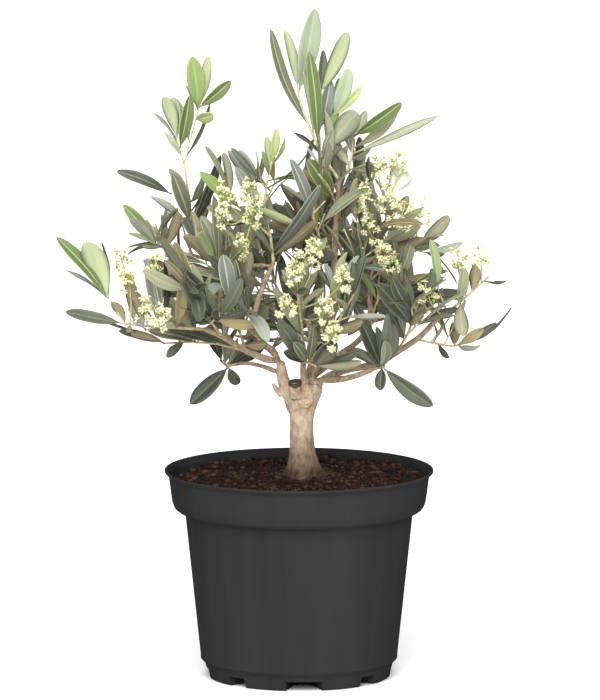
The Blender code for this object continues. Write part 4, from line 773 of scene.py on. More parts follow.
class Taken:
    """What the plant already fills, to keep each new shoot and leaf clear of it."""

    def __init__(self) -> None:
        """Starts with nothing taken."""
        self.count = 0
        self.low = np.zeros((256, 3))
        self.high = np.zeros((256, 3))
        self.trees: list[BVHTree] = []
        self.owners: list[str] = []

    def add(self, shape: Shape, owner: str) -> None:
        """Notes a shape as held by its owner.

        Args:
            shape: the shape.
            owner: the name of what holds it.
        """
        if self.count == len(self.low):
            self.low = np.vstack([self.low, np.zeros_like(self.low)])
            self.high = np.vstack([self.high, np.zeros_like(self.high)])
        points = np.array([tuple(p) for p in shape[0]])
        self.low[self.count] = points.min(axis=0)
        self.high[self.count] = points.max(axis=0)
        self.count += 1
        self.trees.append(BVHTree.FromPolygons(shape[0], shape[1]))
        self.owners.append(owner)

    def touches(self, shape: Shape, but: Iterable[str] = ()) -> bool:
        """Whether the shape meets something that another owner holds.

        Args:
            shape: the shape to test.
            but: owners that don't count.

        Returns:
            True where they meet.
        """
        points = np.array([tuple(p) for p in shape[0]])
        low, high = self.low[:self.count], self.high[:self.count]
        near = np.nonzero((low <= points.max(axis=0)).all(axis=1)
                          & (high >= points.min(axis=0)).all(axis=1))[0]
        tree = None
        for i in near:
            if self.owners[i] in but:
                continue
            tree = tree or BVHTree.FromPolygons(shape[0], shape[1])
            if self.trees[i].overlap(tree):
                return True
        return False


def in_crown(point: Vector) -> bool:
    """Whether a place is in a lobe of the crown, out of the sky and not before a limb.

    Args:
        point: the place.

    Returns:
        Whether something may grow there.
    """
    place = on_elevation(point)
    holes = [hole for *hole, depth in PARTINGS if point.y < depth]
    return in_any(place, LOBES) and not in_any(place, (*SKY, *holes))


# ---------------------------------------------------------------- growth
@dataclass
class GrownLimb:
    """A limb, stem or shoot as it grew: its line and its radius at both ends."""

    path: Path
    foot_radius: float
    tip_radius: float
    young: bool = False

    def radii(self, shares: np.ndarray) -> np.ndarray:
        """Its radius at these shares of its length."""
        return self.foot_radius + (self.tip_radius - self.foot_radius) * shares


@dataclass
class GrownLeaf:
    """A leaf as it grew."""

    blade: Blade
    tone: Tone
    sweep: float


@dataclass
class GrownBloom:
    """A flower cluster as it grew: its stalk, its pairs, how open it is, and its place in the order."""

    foot: Vector
    tip: Vector
    pairs: int
    opened: float
    seed: int


@dataclass(frozen=True)
class Habit:
    """How rule-grown leaves stand on a shoot: the ranges that each is drawn from.

    `play` is added to its lean in radians, `long` is a share of the usual length and `wide` of its
    own. Each further try takes `shorter` off and turns by `step` round the shoot. The leaf has to be
    in the crown at the shares `inside` of its length.
    """

    play: tuple[float, float]
    long: tuple[float, float]
    wide: tuple[float, float]
    inside: tuple[float, ...]
    step: float
    shorter: float = 0.0


FULL_LEAVES = Habit((-0.2, 0.2), (0.82, 1.12), (0.29, 0.37), (0.4, 0.7, 1.0), 0.35, 0.12)
FINER_LEAVES = Habit((0.55, 1.15), (0.75, 1.15), (0.22, 0.28), (0.5, 1.0), 0.6)


@dataclass
class Growth:
    """Everything that grew, kind by kind."""

    limbs: dict[str, GrownLimb] = field(default_factory=dict)
    twigs: list[GrownLimb] = field(default_factory=list)
    leaves: list[GrownLeaf] = field(default_factory=list)
    blooms: list[GrownBloom] = field(default_factory=list)


class Tree:
    """Grows the limbs and the masses from their named places, by the seeded rule."""

    OUTER_SHARE = 0.26
    STEM_TIP = 1.9
    TWIG = 0.8
    TWIG_END = 0.7
    STALK = 0.75
    FIRST_PAIR = 0.45
    WIDE_SPREAD = 64
    NARROW_SPREAD = 30
    RIVAL_REACH = 25.0
    SHIFT = 4.0
    SHIFTS = 15
    FLOWER_ARM = 7.0
    CLUSTER = 20.0
    FLOWER = 3.3
    SET_CUTS = ((0.4, 0.96), (0.79, 0.78))
    UPRIGHT = 0.5
    LIFT = 0.3                    # rule-grown leaves turn up towards the light by this much
    SLIM = 0.74                   # and are this much slimmer than the shapes that keep their room
    STEM_THINNER = 0.8            # at its tip a stem is seen thinner than the room it takes
    TWIG_THINNER = (0.95, 0.55)   # and so is a side shoot, at its foot and its tip
    OWN_GAP = 0.1                 # air between leaves of one mass
    BOW = (-0.02, 0.1)            # arch of the rule-grown leaves
    CURVE = 0.05                  # and how far they curve sideways
    TRIES = 4                     # places that the rule tries for each side shoot
    RULE_SEED, FINER_SEED = 7919, 104729

    def __init__(self) -> None:
        """Starts with the trunk alone."""
        self.growth = Growth()
        self.paths = {"trunk": Path([Vector((x, y, z)) for z, x, y, _ in TRUNK_RINGS], True)}
        self.reach = {"trunk": (TRUNK_WAIST, TRUNK_HEAD)}
        self.node_of = {"trunk": "trunk"}
        self.masses = {mass.name for mass in MASSES}
        self.taken = Taken()
        self.shoots: dict[str, list[tuple[Path, bool]]] = {mass.name: [] for mass in MASSES}
        self.left_out: list[tuple[str, Spot]] = []

    # ---- limbs
    def start_limb(self, name: str, node: str, parent: str, at: float, route: Sequence[Spot],
                   thick: tuple[float, float]) -> None:
        """Notes a limb's path and its radii, from its parent's axis.

        Args:
            name: the limb's name.
            node: the node it is fused to.
            parent: the limb it grows from.
            at: where on that, as a share.
            route: the places it runs through.
            thick: its diameter at its foot and its tip.
        """
        foot = self.paths[parent].at(at)
        self.paths[name] = Path([foot] + [spot(*place) for place in route], name not in self.masses)
        self.reach[name] = (thick[0] / 2, thick[1] / 2)
        self.node_of[name] = node

    def radius(self, name: str, share: float) -> float:
        """A limb's radius at this share of its length."""
        foot, tip = self.reach[name]
        return foot + (tip - foot) * share

    def clear_share(self, name: str, others: Sequence[str]) -> float:
        """The share of the path from which the limb stands clear of the others.

        Args:
            name: the limb.
            others: the limbs that it leaves.

        Returns:
            The share.
        """
        path, share = self.paths[name], 1.0
        while share > 0:
            here, radius = path.at(share), self.radius(name, share)
            for other in others:
                line = self.paths[other]
                count = round(line.length)
                for k in range(count + 1):
                    need = radius + self.radius(other, k / count) + 2 * GAP
                    if (line.at(k / count) - here).length < need:
                        return min(share + 1.0 / path.length, 0.9)
            share -= 1.0 / path.length
        return 0.0

    def limb_shape(self, name: str, first: float, last: float, sides: int) -> Shape:
        """A limb's plain tube between two shares of its length, for the touch test.

        Args:
            name: the limb.
            first: where the tube starts.
            last: where it ends.
            sides: how many sides it has.

        Returns:
            Its points and faces.
        """
        path = self.paths[name]
        shares = path.rings(first, last)
        centres, aims = [path.at(s) for s in shares], [path.along(s) for s in shares]
        return plain_tube(centres, [self.radius(name, s) + GAP for s in shares], sides, aims)

    def lay_limb(self, name: str, parent: str, rivals: list[str], sides: int) -> None:
        """Takes the room of a limb's collar for its parent's node and of the rest for its own.

        Args:
            name: the limb.
            parent: the limb it grows from.
            rivals: others that start beside it.
            sides: how many sides its tubes have.
        """
        node, base = self.node_of[name], self.node_of[parent]
        if node == base:
            self.taken.add(self.limb_shape(name, 0.0, 1.0, sides), node)
            return
        first = self.clear_share(name, [parent] + rivals)
        self.taken.add(self.limb_shape(name, 0.0, first, sides), base)
        start = first + GAP / self.paths[name].length
        self.taken.add(self.limb_shape(name, start, 1.0, sides), node)

    def grow_limbs(self) -> None:
        """Every bough and every mass's stem, so that the foliage can keep clear of them all."""
        starts = [(limb.name, limb.node or limb.name, limb.on, limb.at, limb.route, limb.thick)
                  for limb in LIMBS]
        starts += [(mass.name, mass.name, mass.on, mass.at, mass.stem, (mass.thick, self.STEM_TIP))
                   for mass in MASSES]
        for start in starts:
            self.start_limb(*start)
        self.taken.add(Trunk.plain(), "trunk")
        for name, _, parent, at, _, _ in starts:
            rivals = [other for other, _, of, place, _, _ in starts
                      if other != name and of == parent
                      and abs(place - at) * self.paths[parent].length < self.RIVAL_REACH]
            self.lay_limb(name, parent, rivals, 4 if name in self.masses else 5)
        for limb in LIMBS:
            foot, tip = self.reach[limb.name]
            self.growth.limbs[limb.name] = GrownLimb(self.paths[limb.name], foot, tip)
        for mass in MASSES:
            foot, tip = self.reach[mass.name]
            self.growth.twigs.append(GrownLimb(self.paths[mass.name], foot, tip * self.STEM_THINNER,
                                               mass.green))

    # ---- foliage
    def add_twig(self, mass: Mass, share: float, tip: Vector, checked: bool) -> Optional[Path]:
        """A side shoot from a share of the stem.

        Args:
            mass: the mass it belongs to.
            share: where on the stem it starts.
            tip: where it ends.
            checked: whether it also keeps clear of its own mass.

        Returns:
            Its path, or None where it would touch something.
        """
        foot, radius = self.paths[mass.name].at(share), self.radius(mass.name, share) * self.TWIG
        path = Path([foot, tip], False)
        radii = [radius, radius * self.TWIG_END]
        shape = plain_tube([foot, tip], radii, 3)
        if checked and self.taken.touches(plain_tube([path.at(0.3), tip], [r + GAP for r in radii], 3)):
            return None
        if not checked and self.taken.touches(shape, (mass.name, self.node_of[mass.on])):
            return None
        self.taken.add(shape, mass.name)
        at_foot, at_tip = (radius * thinner for thinner in self.TWIG_THINNER)
        self.growth.twigs.append(GrownLimb(path, at_foot, at_tip, young=True))
        self.shoots[mass.name].append((path, checked))
        return path

    def add_leaf(self, mass: Mass, blade: Blade, cuts: tuple, strict: bool) -> bool:
        """Takes the room of a leaf where it is clear.

        Args:
            mass: the mass it belongs to.
            blade: its place.
            cuts: where its plain outline bends.
            strict: whether it also keeps clear of its own mass.

        Returns:
            Whether it was clear.
        """
        if self.taken.touches(blade.plain(cuts, GAP), (mass.name,)):
            return False
        outer = Blade(blade.foot.lerp(blade.tip, self.OUTER_SHARE), blade.tip, blade.face,
                      blade.width * 0.9, blade.bow)
        if strict and self.taken.touches(outer.plain(cuts, self.OWN_GAP)):
            return False
        self.taken.add(blade.plain(cuts), mass.name)
        return True

    def set_leaf(self, mass: Mass, path: Path, leaf: Leaf) -> None:
        """A leaf with a set place. Its tip moves in depth until the leaf is clear.

        Args:
            mass: the mass it belongs to.
            path: the stem or shoot it grows on.
            leaf: its set place.
        """
        foot = path.sunk(leaf.at)
        for strict in (True, False):
            for step in range(self.SHIFTS):
                depth = leaf.tip[2] + (step + 1) // 2 * (self.SHIFT if step % 2 else -self.SHIFT)
                tip = spot(leaf.tip[0], leaf.tip[1], depth)
                ahead = (tip - foot).normalized()
                front = Vector((0, -1, 0))
                face = (front - ahead * front.dot(ahead)).normalized()
                face = Quaternion(ahead, math.radians(leaf.face)) @ face
                blade = Blade(foot, tip, face, leaf.width, leaf.bow)
                if self.add_leaf(mass, blade, self.SET_CUTS, strict):
                    self.growth.leaves.append(GrownLeaf(blade, leaf.tone, leaf.sweep))
                    return
        self.left_out.append((mass.name, leaf.tip))

    def add_bloom(self, mass: Mass, foot: Vector, tip: Vector, bloom: Bloom, rng: random.Random) -> None:
        """A flower cluster: a thin stalk, opposite pairs of flowers on short arms, and one on top.

        Args:
            mass: the mass it belongs to.
            foot: where its stalk starts.
            tip: where its stalk ends.
            bloom: how many flowers it has, and how open they are.
            rng: the mass's own chance.
        """
        path = Path([foot, tip], False)
        own = (mass.name,)
        if self.taken.touches(plain_tube([foot, tip], [self.STALK + GAP] * 2, 3), own):
            return
        self.taken.add(plain_tube([foot, tip], [self.STALK, self.STALK * self.TWIG_END], 3), mass.name)
        flowers = [(path.at(0.9), tip + path.along(1.0) * 0.5)]
        turn = rng.uniform(0, math.pi)
        for i in range(bloom.pairs):
            share = 0.94 - 0.5 * (i + 0.6) / bloom.pairs
            heart, ahead = path.at(share), path.along(share)
            arm = outward(ahead, turn) * self.FLOWER_ARM * (i + 2) / (bloom.pairs + 1)
            for way in (1, -1):
                flowers.append((heart, heart + arm * way + ahead * self.FLOWER_ARM / 3))
            turn += math.pi / 2
        for foot_at, centre in flowers:
            if not self.taken.touches(plain_flower(foot_at, centre, self.FLOWER, GAP), own):
                self.taken.add(plain_flower(foot_at, centre, self.FLOWER), mass.name)
        self.growth.blooms.append(GrownBloom(foot, tip, bloom.pairs, bloom.opened, len(self.growth.blooms)))

    def grow_pair(self, mass: Mass, path: Path | StemEnd, share: float, turn: float, lean: float,
                  size: float, habit: Habit, rng: random.Random) -> float:
        """Two opposite leaves, each where one of three tries is clear and inside the crown.

        Args:
            mass: the mass they belong to.
            path: the shoot they grow on.
            share: where on it.
            turn: where round it.
            lean: how far they lean away from it, before their own play.
            size: their usual length.
            habit: the ranges they are drawn from.
            rng: the mass's own chance.

        Returns:
            The turn after the last try.
        """
        ahead, foot = path.along(share), path.sunk(share)
        for way in (1, -1):
            for attempt in range(3):
                leaning = lean + rng.uniform(*habit.play)
                out = outward(ahead, turn) * way
                aim = (ahead * math.cos(leaning) + out * math.sin(leaning)).normalized()
                face = (ahead - aim * ahead.dot(aim)).normalized()
                face = Quaternion(aim, rng.uniform(-1.0, 1.0)) @ face
                long = size * rng.uniform(*habit.long) * (1.0 - habit.shorter * attempt)
                wide = long * rng.uniform(*habit.wide)
                blade = Blade(foot, foot + aim * long, face, wide, rng.uniform(*self.BOW))
                inside = all(in_crown(foot.lerp(blade.tip, part)) for part in habit.inside)
                if inside and self.add_leaf(mass, blade, (), True):
                    self.deal(mass, blade)
                    break
                turn += habit.step
        return turn

    def leafy(self, mass: Mass, path: Path | StemEnd, rng: random.Random) -> None:
        """Opposite pairs along a shoot, each pair a quarter turn from the last.

        Args:
            mass: the mass the shoot belongs to.
            path: the shoot.
            rng: the mass's own chance.
        """
        turn = rng.uniform(0, math.pi)
        for part in (0.0, 1.0):
            share = self.FIRST_PAIR + (1.0 - self.FIRST_PAIR) * part
            lean = math.radians(self.WIDE_SPREAD + (self.NARROW_SPREAD - self.WIDE_SPREAD) * part)
            size = mass.leaf * (1.0 - 0.15 * part)
            turn = self.grow_pair(mass, path, share, turn, lean, size, FULL_LEAVES, rng)
            turn += math.pi / 2 + rng.uniform(-0.2, 0.2)

    def deal(self, mass: Mass, blade: Blade) -> None:
        """Gives a rule-grown leaf its tone from its mass's spray, and a slight sideways curve.

        Args:
            mass: the mass it belongs to.
            blade: the place that was tested.
        """
        tones = mass.spray.value
        pick = len(self.growth.leaves)
        reach = blade.tip - blade.foot
        lifted = (reach.normalized() + Vector((0, 0, self.LIFT))).normalized() * reach.length
        blade = Blade(blade.foot, blade.foot + lifted, blade.face, blade.width * self.SLIM, blade.bow)
        sweep = self.CURVE * math.sin(pick * 2.4)
        self.growth.leaves.append(GrownLeaf(blade, tones[pick * 7 % len(tones)], sweep))

    def grow_set(self, mass: Mass) -> None:
        """The shoots, leaves and flowers of a mass that have a set place.

        Args:
            mass: the mass.
        """
        rng = random.Random(mass.seed)
        stem = self.paths[mass.name]
        shoots = []
        for shoot in mass.shoots:
            path = self.add_twig(mass, shoot.at, spot(*shoot.tip), False)
            if path is None:
                self.left_out.append((mass.name, shoot.tip))
                continue
            shoots.append((shoot, path))
        for leaf in mass.leaves:
            self.set_leaf(mass, stem, leaf)
        for shoot, path in shoots:
            for leaf in shoot.leaves:
                self.set_leaf(mass, path, leaf)
        for bloom in mass.sprays:
            self.add_bloom(mass, stem.at(bloom.at), spot(*bloom.tip), bloom, rng)
        for shoot, path in shoots:
            for bloom in shoot.blooms:
                self.add_bloom(mass, path.at(bloom.at), spot(*bloom.tip), bloom, rng)

    def grow_by_rule(self, mass: Mass) -> None:
        """Side shoots at golden turns along the stem, then a leafy end.

        Args:
            mass: the mass.
        """
        rng = random.Random(mass.seed * self.RULE_SEED)
        stem = self.paths[mass.name]
        turn = rng.uniform(0, math.tau)
        for i in range(mass.grown):
            share = 0.25 + 0.65 * (i + 0.5) / max(1, mass.grown)
            for attempt in range(self.TRIES):
                ahead = stem.along(share)
                growth = (ahead * 0.75 + outward(ahead, turn) + Vector((0, 0, self.UPRIGHT))).normalized()
                long = mass.twig * rng.uniform(0.75, 1.15) * (1.15 - 0.45 * share)
                tip = stem.at(share) + growth * long
                turn += GOLDEN_TURN if attempt == 0 else GOLDEN_TURN / 3
                path = self.add_twig(mass, share, tip, True) if in_crown(tip) else None
                if path is None:
                    continue
                if i < mass.blooms:
                    start = path.at(0.8)
                    top = start + (path.along(0.8) + Vector((0, 0, 0.8))).normalized() * self.CLUSTER
                    self.add_bloom(mass, start, top, Bloom(0.8, (0, 0, 0), 1), rng)
                self.leafy(mass, path, rng)
                break
        if mass.grown:
            self.leafy(mass, StemEnd(stem), rng)

    # ---- finer growth
    def finer_leaves(self, mass: Mass, path: Path, shares: Sequence[float], size: float,
                     rng: random.Random) -> None:
        """Further pairs of smaller leaves on a shoot.

        Args:
            mass: the mass they belong to.
            path: the shoot.
            shares: where the pairs are.
            size: their usual length.
            rng: the mass's own chance.
        """
        turn = rng.uniform(0, math.pi)
        for share in shares:
            turn = self.grow_pair(mass, path, share, turn, 0.0, size, FINER_LEAVES, rng) + math.pi / 2

    def grow_finer(self, mass: Mass) -> None:
        """Carries the rule on: more pairs on every shoot, and further small shoots with leaves.

        Args:
            mass: the mass.
        """
        rng = random.Random(mass.seed * self.FINER_SEED)
        stem = self.paths[mass.name]
        for path, by_rule in list(self.shoots[mass.name]):
            if by_rule:
                self.finer_leaves(mass, path, (0.72,), mass.leaf * 0.78, rng)
        if mass.grown:
            self.finer_leaves(mass, stem, (0.35, 0.55, 0.8), mass.leaf * 0.8, rng)
        turn = rng.uniform(0, math.tau)
        for i in range(mass.finer if mass.grown else 0):
            share = rng.uniform(0.2, 0.95)
            for _ in range(self.TRIES):
                ahead = stem.along(share)
                out = outward(ahead, turn)
                growth = (ahead * rng.uniform(0.3, 0.9) + out + Vector((0, 0, 0.2))).normalized()
                tip = stem.at(share) + growth * mass.twig * rng.uniform(0.6, 1.0)
                turn += GOLDEN_TURN
                path = self.add_twig(mass, share, tip, True) if in_crown(tip) else None
                if path is not None:
                    self.finer_leaves(mass, path, (0.5, 0.98), mass.leaf * 0.75, rng)
                    break

    def grow(self) -> Growth:
        """Everything above the soil: first all limbs, then the foliage, step by step in every mass.

        Returns:
            Everything that grew.
        """
        self.grow_limbs()
        for step in (self.grow_set, self.grow_by_rule, self.grow_finer):
            for mass in MASSES:
                step(mass)
        return self.growth


# ---------------------------------------------------------------- meshes and finishes
def placed(name: str, data: bpy.types.ID) -> bpy.types.Object:
    """A new object of this data, in the scene.

    Args:
        name: its name.
        data: its mesh, camera or light.

    Returns:
        The object.
    """
    made = bpy.data.objects.new(name, data)
    bpy.context.scene.collection.objects.link(made)
    return made


def evaluated(made: bpy.types.Object) -> bpy.types.Mesh:
    """A new mesh of an object with its modifiers carried out, to be shaded smooth.

    Args:
        made: the object.

    Returns:
        The mesh.
    """
    bpy.context.view_layer.update()
    graph = bpy.context.evaluated_depsgraph_get()
    mesh = bpy.data.meshes.new_from_object(made.evaluated_get(graph))
    mesh.polygons.foreach_set("use_smooth", np.full(len(mesh.polygons), True))
    return mesh


class Pile:
    """Gathers closed shapes of one kind in millimetres, and joins them as one object in metres."""

    def __init__(self) -> None:
        """Starts empty."""
        self.blocks: list[np.ndarray] = []
        self.faces: Faces = []
        self.marks: list[int] = []
        self.count = 0

    def add(self, shape: Solid, marks: Sequence[int] | int = 0) -> None:
        """Adds a shape.

        Args:
            shape: its points, and its faces, counted from its own first point.
            marks: the finish of each face, or of them all, as a place in the list of finishes.
        """
        points, faces = shape
        start = self.count
        self.blocks.append(points)
        self.faces += [tuple(start + i for i in face) for face in faces]
        self.marks += [marks] * len(faces) if isinstance(marks, int) else marks
        self.count += len(points)

    @property
    def triangles(self) -> int:
        """How many triangles it holds so far."""
        return sum(len(face) - 2 for face in self.faces)

    def make(self, name: str, finishes: Sequence[bpy.types.Material] = (),
             smooth: bool = True) -> bpy.types.Object:
        """Joins everything.

        Args:
            name: the object's name.
            finishes: the materials that the marks count.
            smooth: whether its faces are shaded smooth.

        Returns:
            The new object, riding on the root body.
        """
        mesh = bpy.data.meshes.new(name)
        mesh.from_pydata((np.vstack(self.blocks) * MM).tolist(), [], self.faces)
        for finish in finishes:
            mesh.materials.append(finish)
        mesh.polygons.foreach_set("material_index", np.array(self.marks, np.int32))
        mesh.polygons.foreach_set("use_smooth", np.full(len(self.faces), smooth))
        mesh.update()
        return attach(placed(name, mesh), "root")


def made_of(name: str, shape: Solid, finishes: Sequence[bpy.types.Material] = ()) -> bpy.types.Object:
    """One shape as an object of its own, in the first of these finishes.

    Args:
        name: its name.
        shape: the shape.
        finishes: its materials, of which it takes the first.

    Returns:
        The object.
    """
    pile = Pile()
    pile.add(shape)
    return pile.make(name, finishes)


class Nodes:
    """A material's node tree, built step by step."""

    def __init__(self, name: str) -> None:
        """Starts a material with its plain shader.

        Args:
            name: the material's name.
        """
        self.material = bpy.data.materials.new(name)
        self.material.use_nodes = True
        self.tree = self.material.node_tree
        self.shader = self.tree.nodes["Principled BSDF"]
        self.place = self.tree.nodes.new("ShaderNodeTexCoord").outputs["Object"]

    def set(self, **sockets: float | tuple) -> "Nodes":
        """Sets plain values on the shader's own sockets, spaces written as underscores.

        Args:
            sockets: the value of each socket.

        Returns:
            Itself.
        """
        for name, value in sockets.items():
            self.shader.inputs[name.replace("_", " ")].default_value = value
        return self

    def node(self, kind: str, **sockets: float | tuple) -> bpy.types.Node:
        """A new node with plain values on its sockets, spaces written as underscores.

        Args:
            kind: its kind.
            sockets: the value of each socket.

        Returns:
            The node.
        """
        made = self.tree.nodes.new("ShaderNode" + kind)
        for name, value in sockets.items():
            made.inputs[name.replace("_", " ")].default_value = value
        return made

    def link(self, source: bpy.types.NodeSocket, node: bpy.types.Node, socket: str) -> None:
        """Links a pattern to a node's socket."""
        self.tree.links.new(source, node.inputs[socket])

    def pattern(self, kind: str, stretch: Spot, **sockets: float) -> bpy.types.Node:
        """A pattern in the object's own space.

        Args:
            kind: the kind of its node.
            stretch: how its fineness is scaled on each axis.
            sockets: the value of each of its sockets.

        Returns:
            The pattern's node.
        """
        mapping = self.node("Mapping", Scale=stretch)
        made = self.node(kind, **sockets)
        self.link(self.place, mapping, "Vector")
        self.link(mapping.outputs["Vector"], made, "Vector")
        return made

    def noise(self, scale: float, detail: float = 4.0, rough: float = 0.6,
              stretch: Spot = (1.0, 1.0, 1.0)) -> bpy.types.NodeSocket:
        """A noise pattern.

        Args:
            scale: its fineness, in repeats a metre.
            detail: how many finer layers it has.
            rough: how strong they are.
            stretch: how its fineness is scaled on each axis.

        Returns:
            The pattern's height.
        """
        return self.pattern("TexNoise", stretch, Scale=scale, Detail=detail, Roughness=rough).outputs["Fac"]

    def cells(self, scale: float, stretch: Spot) -> bpy.types.NodeSocket:
        """Distance to the nearest of scattered points."""
        return self.pattern("TexVoronoi", stretch, Scale=scale).outputs["Distance"]

    def height(self) -> bpy.types.NodeSocket:
        """Height over the pot's foot, in metres.

        Returns:
            The height.
        """
        parts = self.node("SeparateXYZ")
        self.link(self.place, parts, "Vector")
        return parts.outputs["Z"]

    def ramp(self, source: bpy.types.NodeSocket,
             stops: Sequence[tuple[float, Colour]]) -> bpy.types.NodeSocket:
        """Colours dealt out along a pattern.

        Args:
            source: the pattern.
            stops: (place, colour) in rising order.

        Returns:
            The colour.
        """
        ramp = self.node("ValToRGB")
        band = ramp.color_ramp
        while len(band.elements) < len(stops):
            band.elements.new(0.5)
        for element, (place, colour) in zip(band.elements, stops):
            element.position = place
            element.color = linear(colour)
        self.link(source, ramp, "Fac")
        return ramp.outputs["Color"]

    def mix(self, share: bpy.types.NodeSocket, first: bpy.types.NodeSocket,
            second: bpy.types.NodeSocket) -> bpy.types.NodeSocket:
        """Two colours mixed by a pattern.

        Args:
            share: how much of the second shows.
            first: the colour where that is 0.
            second: the colour where it is 1.

        Returns:
            The mixed colour.
        """
        mixer = self.node("Mix")
        mixer.data_type = "RGBA"
        for source, socket in ((share, "Factor"), (first, "A"), (second, "B")):
            self.link(source, mixer, socket)
        return mixer.outputs["Result"]

    def steps(self, source: bpy.types.NodeSocket, low: float, high: float,
              to_low: float = 0.0, to_high: float = 1.0) -> bpy.types.NodeSocket:
        """A pattern's range from low to high, spread over another range.

        Args:
            source: the pattern.
            low: where the range starts.
            high: where it ends.
            to_low: what its start becomes.
            to_high: what its end becomes.

        Returns:
            The spread pattern.
        """
        spread = self.node("MapRange", From_Min=low, From_Max=high, To_Min=to_low, To_Max=to_high)
        self.link(source, spread, "Value")
        return spread.outputs["Result"]

    def colour(self, source: bpy.types.NodeSocket) -> "Nodes":
        """Takes the base colour from a pattern."""
        self.link(source, self.shader, "Base Color")
        return self

    def roughness(self, source: bpy.types.NodeSocket) -> "Nodes":
        """Takes the roughness from a pattern."""
        self.link(source, self.shader, "Roughness")
        return self

    def bump(self, height: bpy.types.NodeSocket, depth: float, strength: float = 0.6) -> "Nodes":
        """Relief from a pattern, on top of any before it.

        Args:
            height: the pattern.
            depth: its depth in metres.
            strength: how much of it shows.

        Returns:
            Itself.
        """
        bump = self.node("Bump", Strength=strength, Distance=depth)
        self.link(height, bump, "Height")
        for before in list(self.shader.inputs["Normal"].links):
            self.link(before.from_socket, bump, "Normal")
        self.link(bump.outputs["Normal"], self.shader, "Normal")
        return self


@dataclass(frozen=True)
class BarkFinish:
    """Bark: a dry, smooth-barked trunk with pale and greenish patches, or a pinkish young bough."""

    name: str
    pale: Colour
    usual: Colour
    shade: Colour
    patch: Colour
    grain: float = 260.0
    dust: tuple[Colour, Colour] = ((42, 31, 24), (88, 70, 54))
    dusty: tuple[float, float] = (0.146, 0.176)   # heights where the soil's dust thins out, in metres

    def make(self) -> bpy.types.Material:
        """Grained and blotched bark, dusty low on the trunk.

        Returns:
            The material.
        """
        nodes = Nodes(self.name).set(Roughness=0.85, Specular_IOR_Level=0.2)
        fine = nodes.noise(self.grain, 6.0, 0.65, (1.0, 1.0, 0.45))
        base = nodes.ramp(fine, ((0.3, self.shade), (0.48, self.usual), (0.68, self.pale)))
        blotch = nodes.steps(nodes.noise(55.0, 3.0, 0.6), 0.5, 0.68, 0.0, 0.75)
        patch = nodes.ramp(fine, ((0.3, self.shade), (0.62, self.patch)))
        dust = nodes.ramp(fine, ((0.35, self.dust[0]), (0.7, self.dust[1])))
        dusted = nodes.steps(nodes.height(), *self.dusty, 1.0, 0.0)
        nodes.colour(nodes.mix(dusted, nodes.mix(blotch, base, patch), dust))
        specks = nodes.steps(nodes.cells(700.0, (1.0, 1.0, 0.6)), 0.0, 0.5)
        return nodes.bump(nodes.noise(900.0, 5.0, 0.7), 0.0006).bump(specks, 0.0003, 0.4).material


def plain_finish(name: str, colour: Colour, rough: float, gloss: float) -> bpy.types.Material:
    """A surface of one colour, its gloss from 0 to 1."""
    return Nodes(name).set(Base_Color=linear(colour), Roughness=rough, Specular_IOR_Level=gloss).material


@dataclass(frozen=True)
class LeafFinishes:
    """The plain colours of the leaves: three shades of each upper side, its underside and its rib."""

    shades: tuple[float, ...] = (0.9, 1.06, 1.22)
    upper_gloss: float = 0.42
    under_gloss: float = 0.7

    @property
    def per_tone(self) -> int:
        """How many finishes each tone has."""
        return len(self.shades) + 2

    def place(self, tone: Tone, shade: int) -> tuple[int, int, int]:
        """Where a tone's upper side in this shade, its underside and its rib stand in the list."""
        start = list(Tone).index(tone) * self.per_tone
        return start + shade, start + len(self.shades), start + len(self.shades) + 1

    def make(self) -> list[bpy.types.Material]:
        """Every leaf material, in the order that `place` counts.

        Returns:
            The materials.
        """
        made = []
        for tone in Tone:
            word = tone.name.lower()
            for i, shade in enumerate(self.shades):
                colour = tuple(min(255, round(channel * shade)) for channel in tone.upper)
                made.append(plain_finish(f"leaf_{word}_upper_{i}", colour, self.upper_gloss, 0.32))
            made.append(plain_finish(f"leaf_{word}_under", tone.under, self.under_gloss, 0.25))
            made.append(plain_finish(f"leaf_{word}_rib", tone.rib, 0.5, 0.35))
        return made


class Bloomed(Enum):
    """Surfaces of a flower cluster."""

    PETAL = (240, 237, 204)
    PETAL_CREAM = (234, 230, 182)
    HEART = (204, 190, 116)
    BUD = (206, 210, 136)
    BUD_GREEN = (160, 174, 96)
    STALK = (176, 180, 116)

    @property
    def place(self) -> int:
        """Its place in the list of finishes."""
        return list(Bloomed).index(self)

    @staticmethod
    def finishes() -> list[bpy.types.Material]:
        """Every surface's material, in order."""
        return [plain_finish(f"blossom_{kind.name.lower()}", kind.value, 0.6, 0.25) for kind in Bloomed]


# ---------------------------------------------------------------- round shapes
def ring_tube(centres: np.ndarray, radii: np.ndarray, sides: int) -> Solid:
    """A closed tube with pointed ends, its rings square to its line.

    Args:
        centres: the places it runs through, one row each.
        radii: its radius at each.
        sides: how many sides it has.

    Returns:
        Its points and faces.
    """
    aims = np.gradient(centres, axis=0)
    aims /= np.linalg.norm(aims, axis=1, keepdims=True)
    side = np.array(across_of(Vector(aims[0]))[0])
    turns = np.arange(sides) * math.tau / sides
    rows = []
    for centre, radius, aim in zip(centres, radii, aims):
        side = unit(side - aim * (side @ aim))
        other = np.cross(aim, side)
        rows.append(centre + radius * (np.cos(turns)[:, None] * side + np.sin(turns)[:, None] * other))
    ends = np.array([centres[0] - aims[0] * radii[0] * 0.4, centres[-1] + aims[-1] * radii[-1] * 0.4])
    faces = ring_faces(len(centres), sides)
    last = (len(centres) - 1) * sides
    foot, tip = last + sides, last + sides + 1
    for k in range(sides):
        after = (k + 1) % sides
        faces += [(foot, after, k), (tip, last + k, last + after)]
    return np.vstack(rows + [ends]), faces


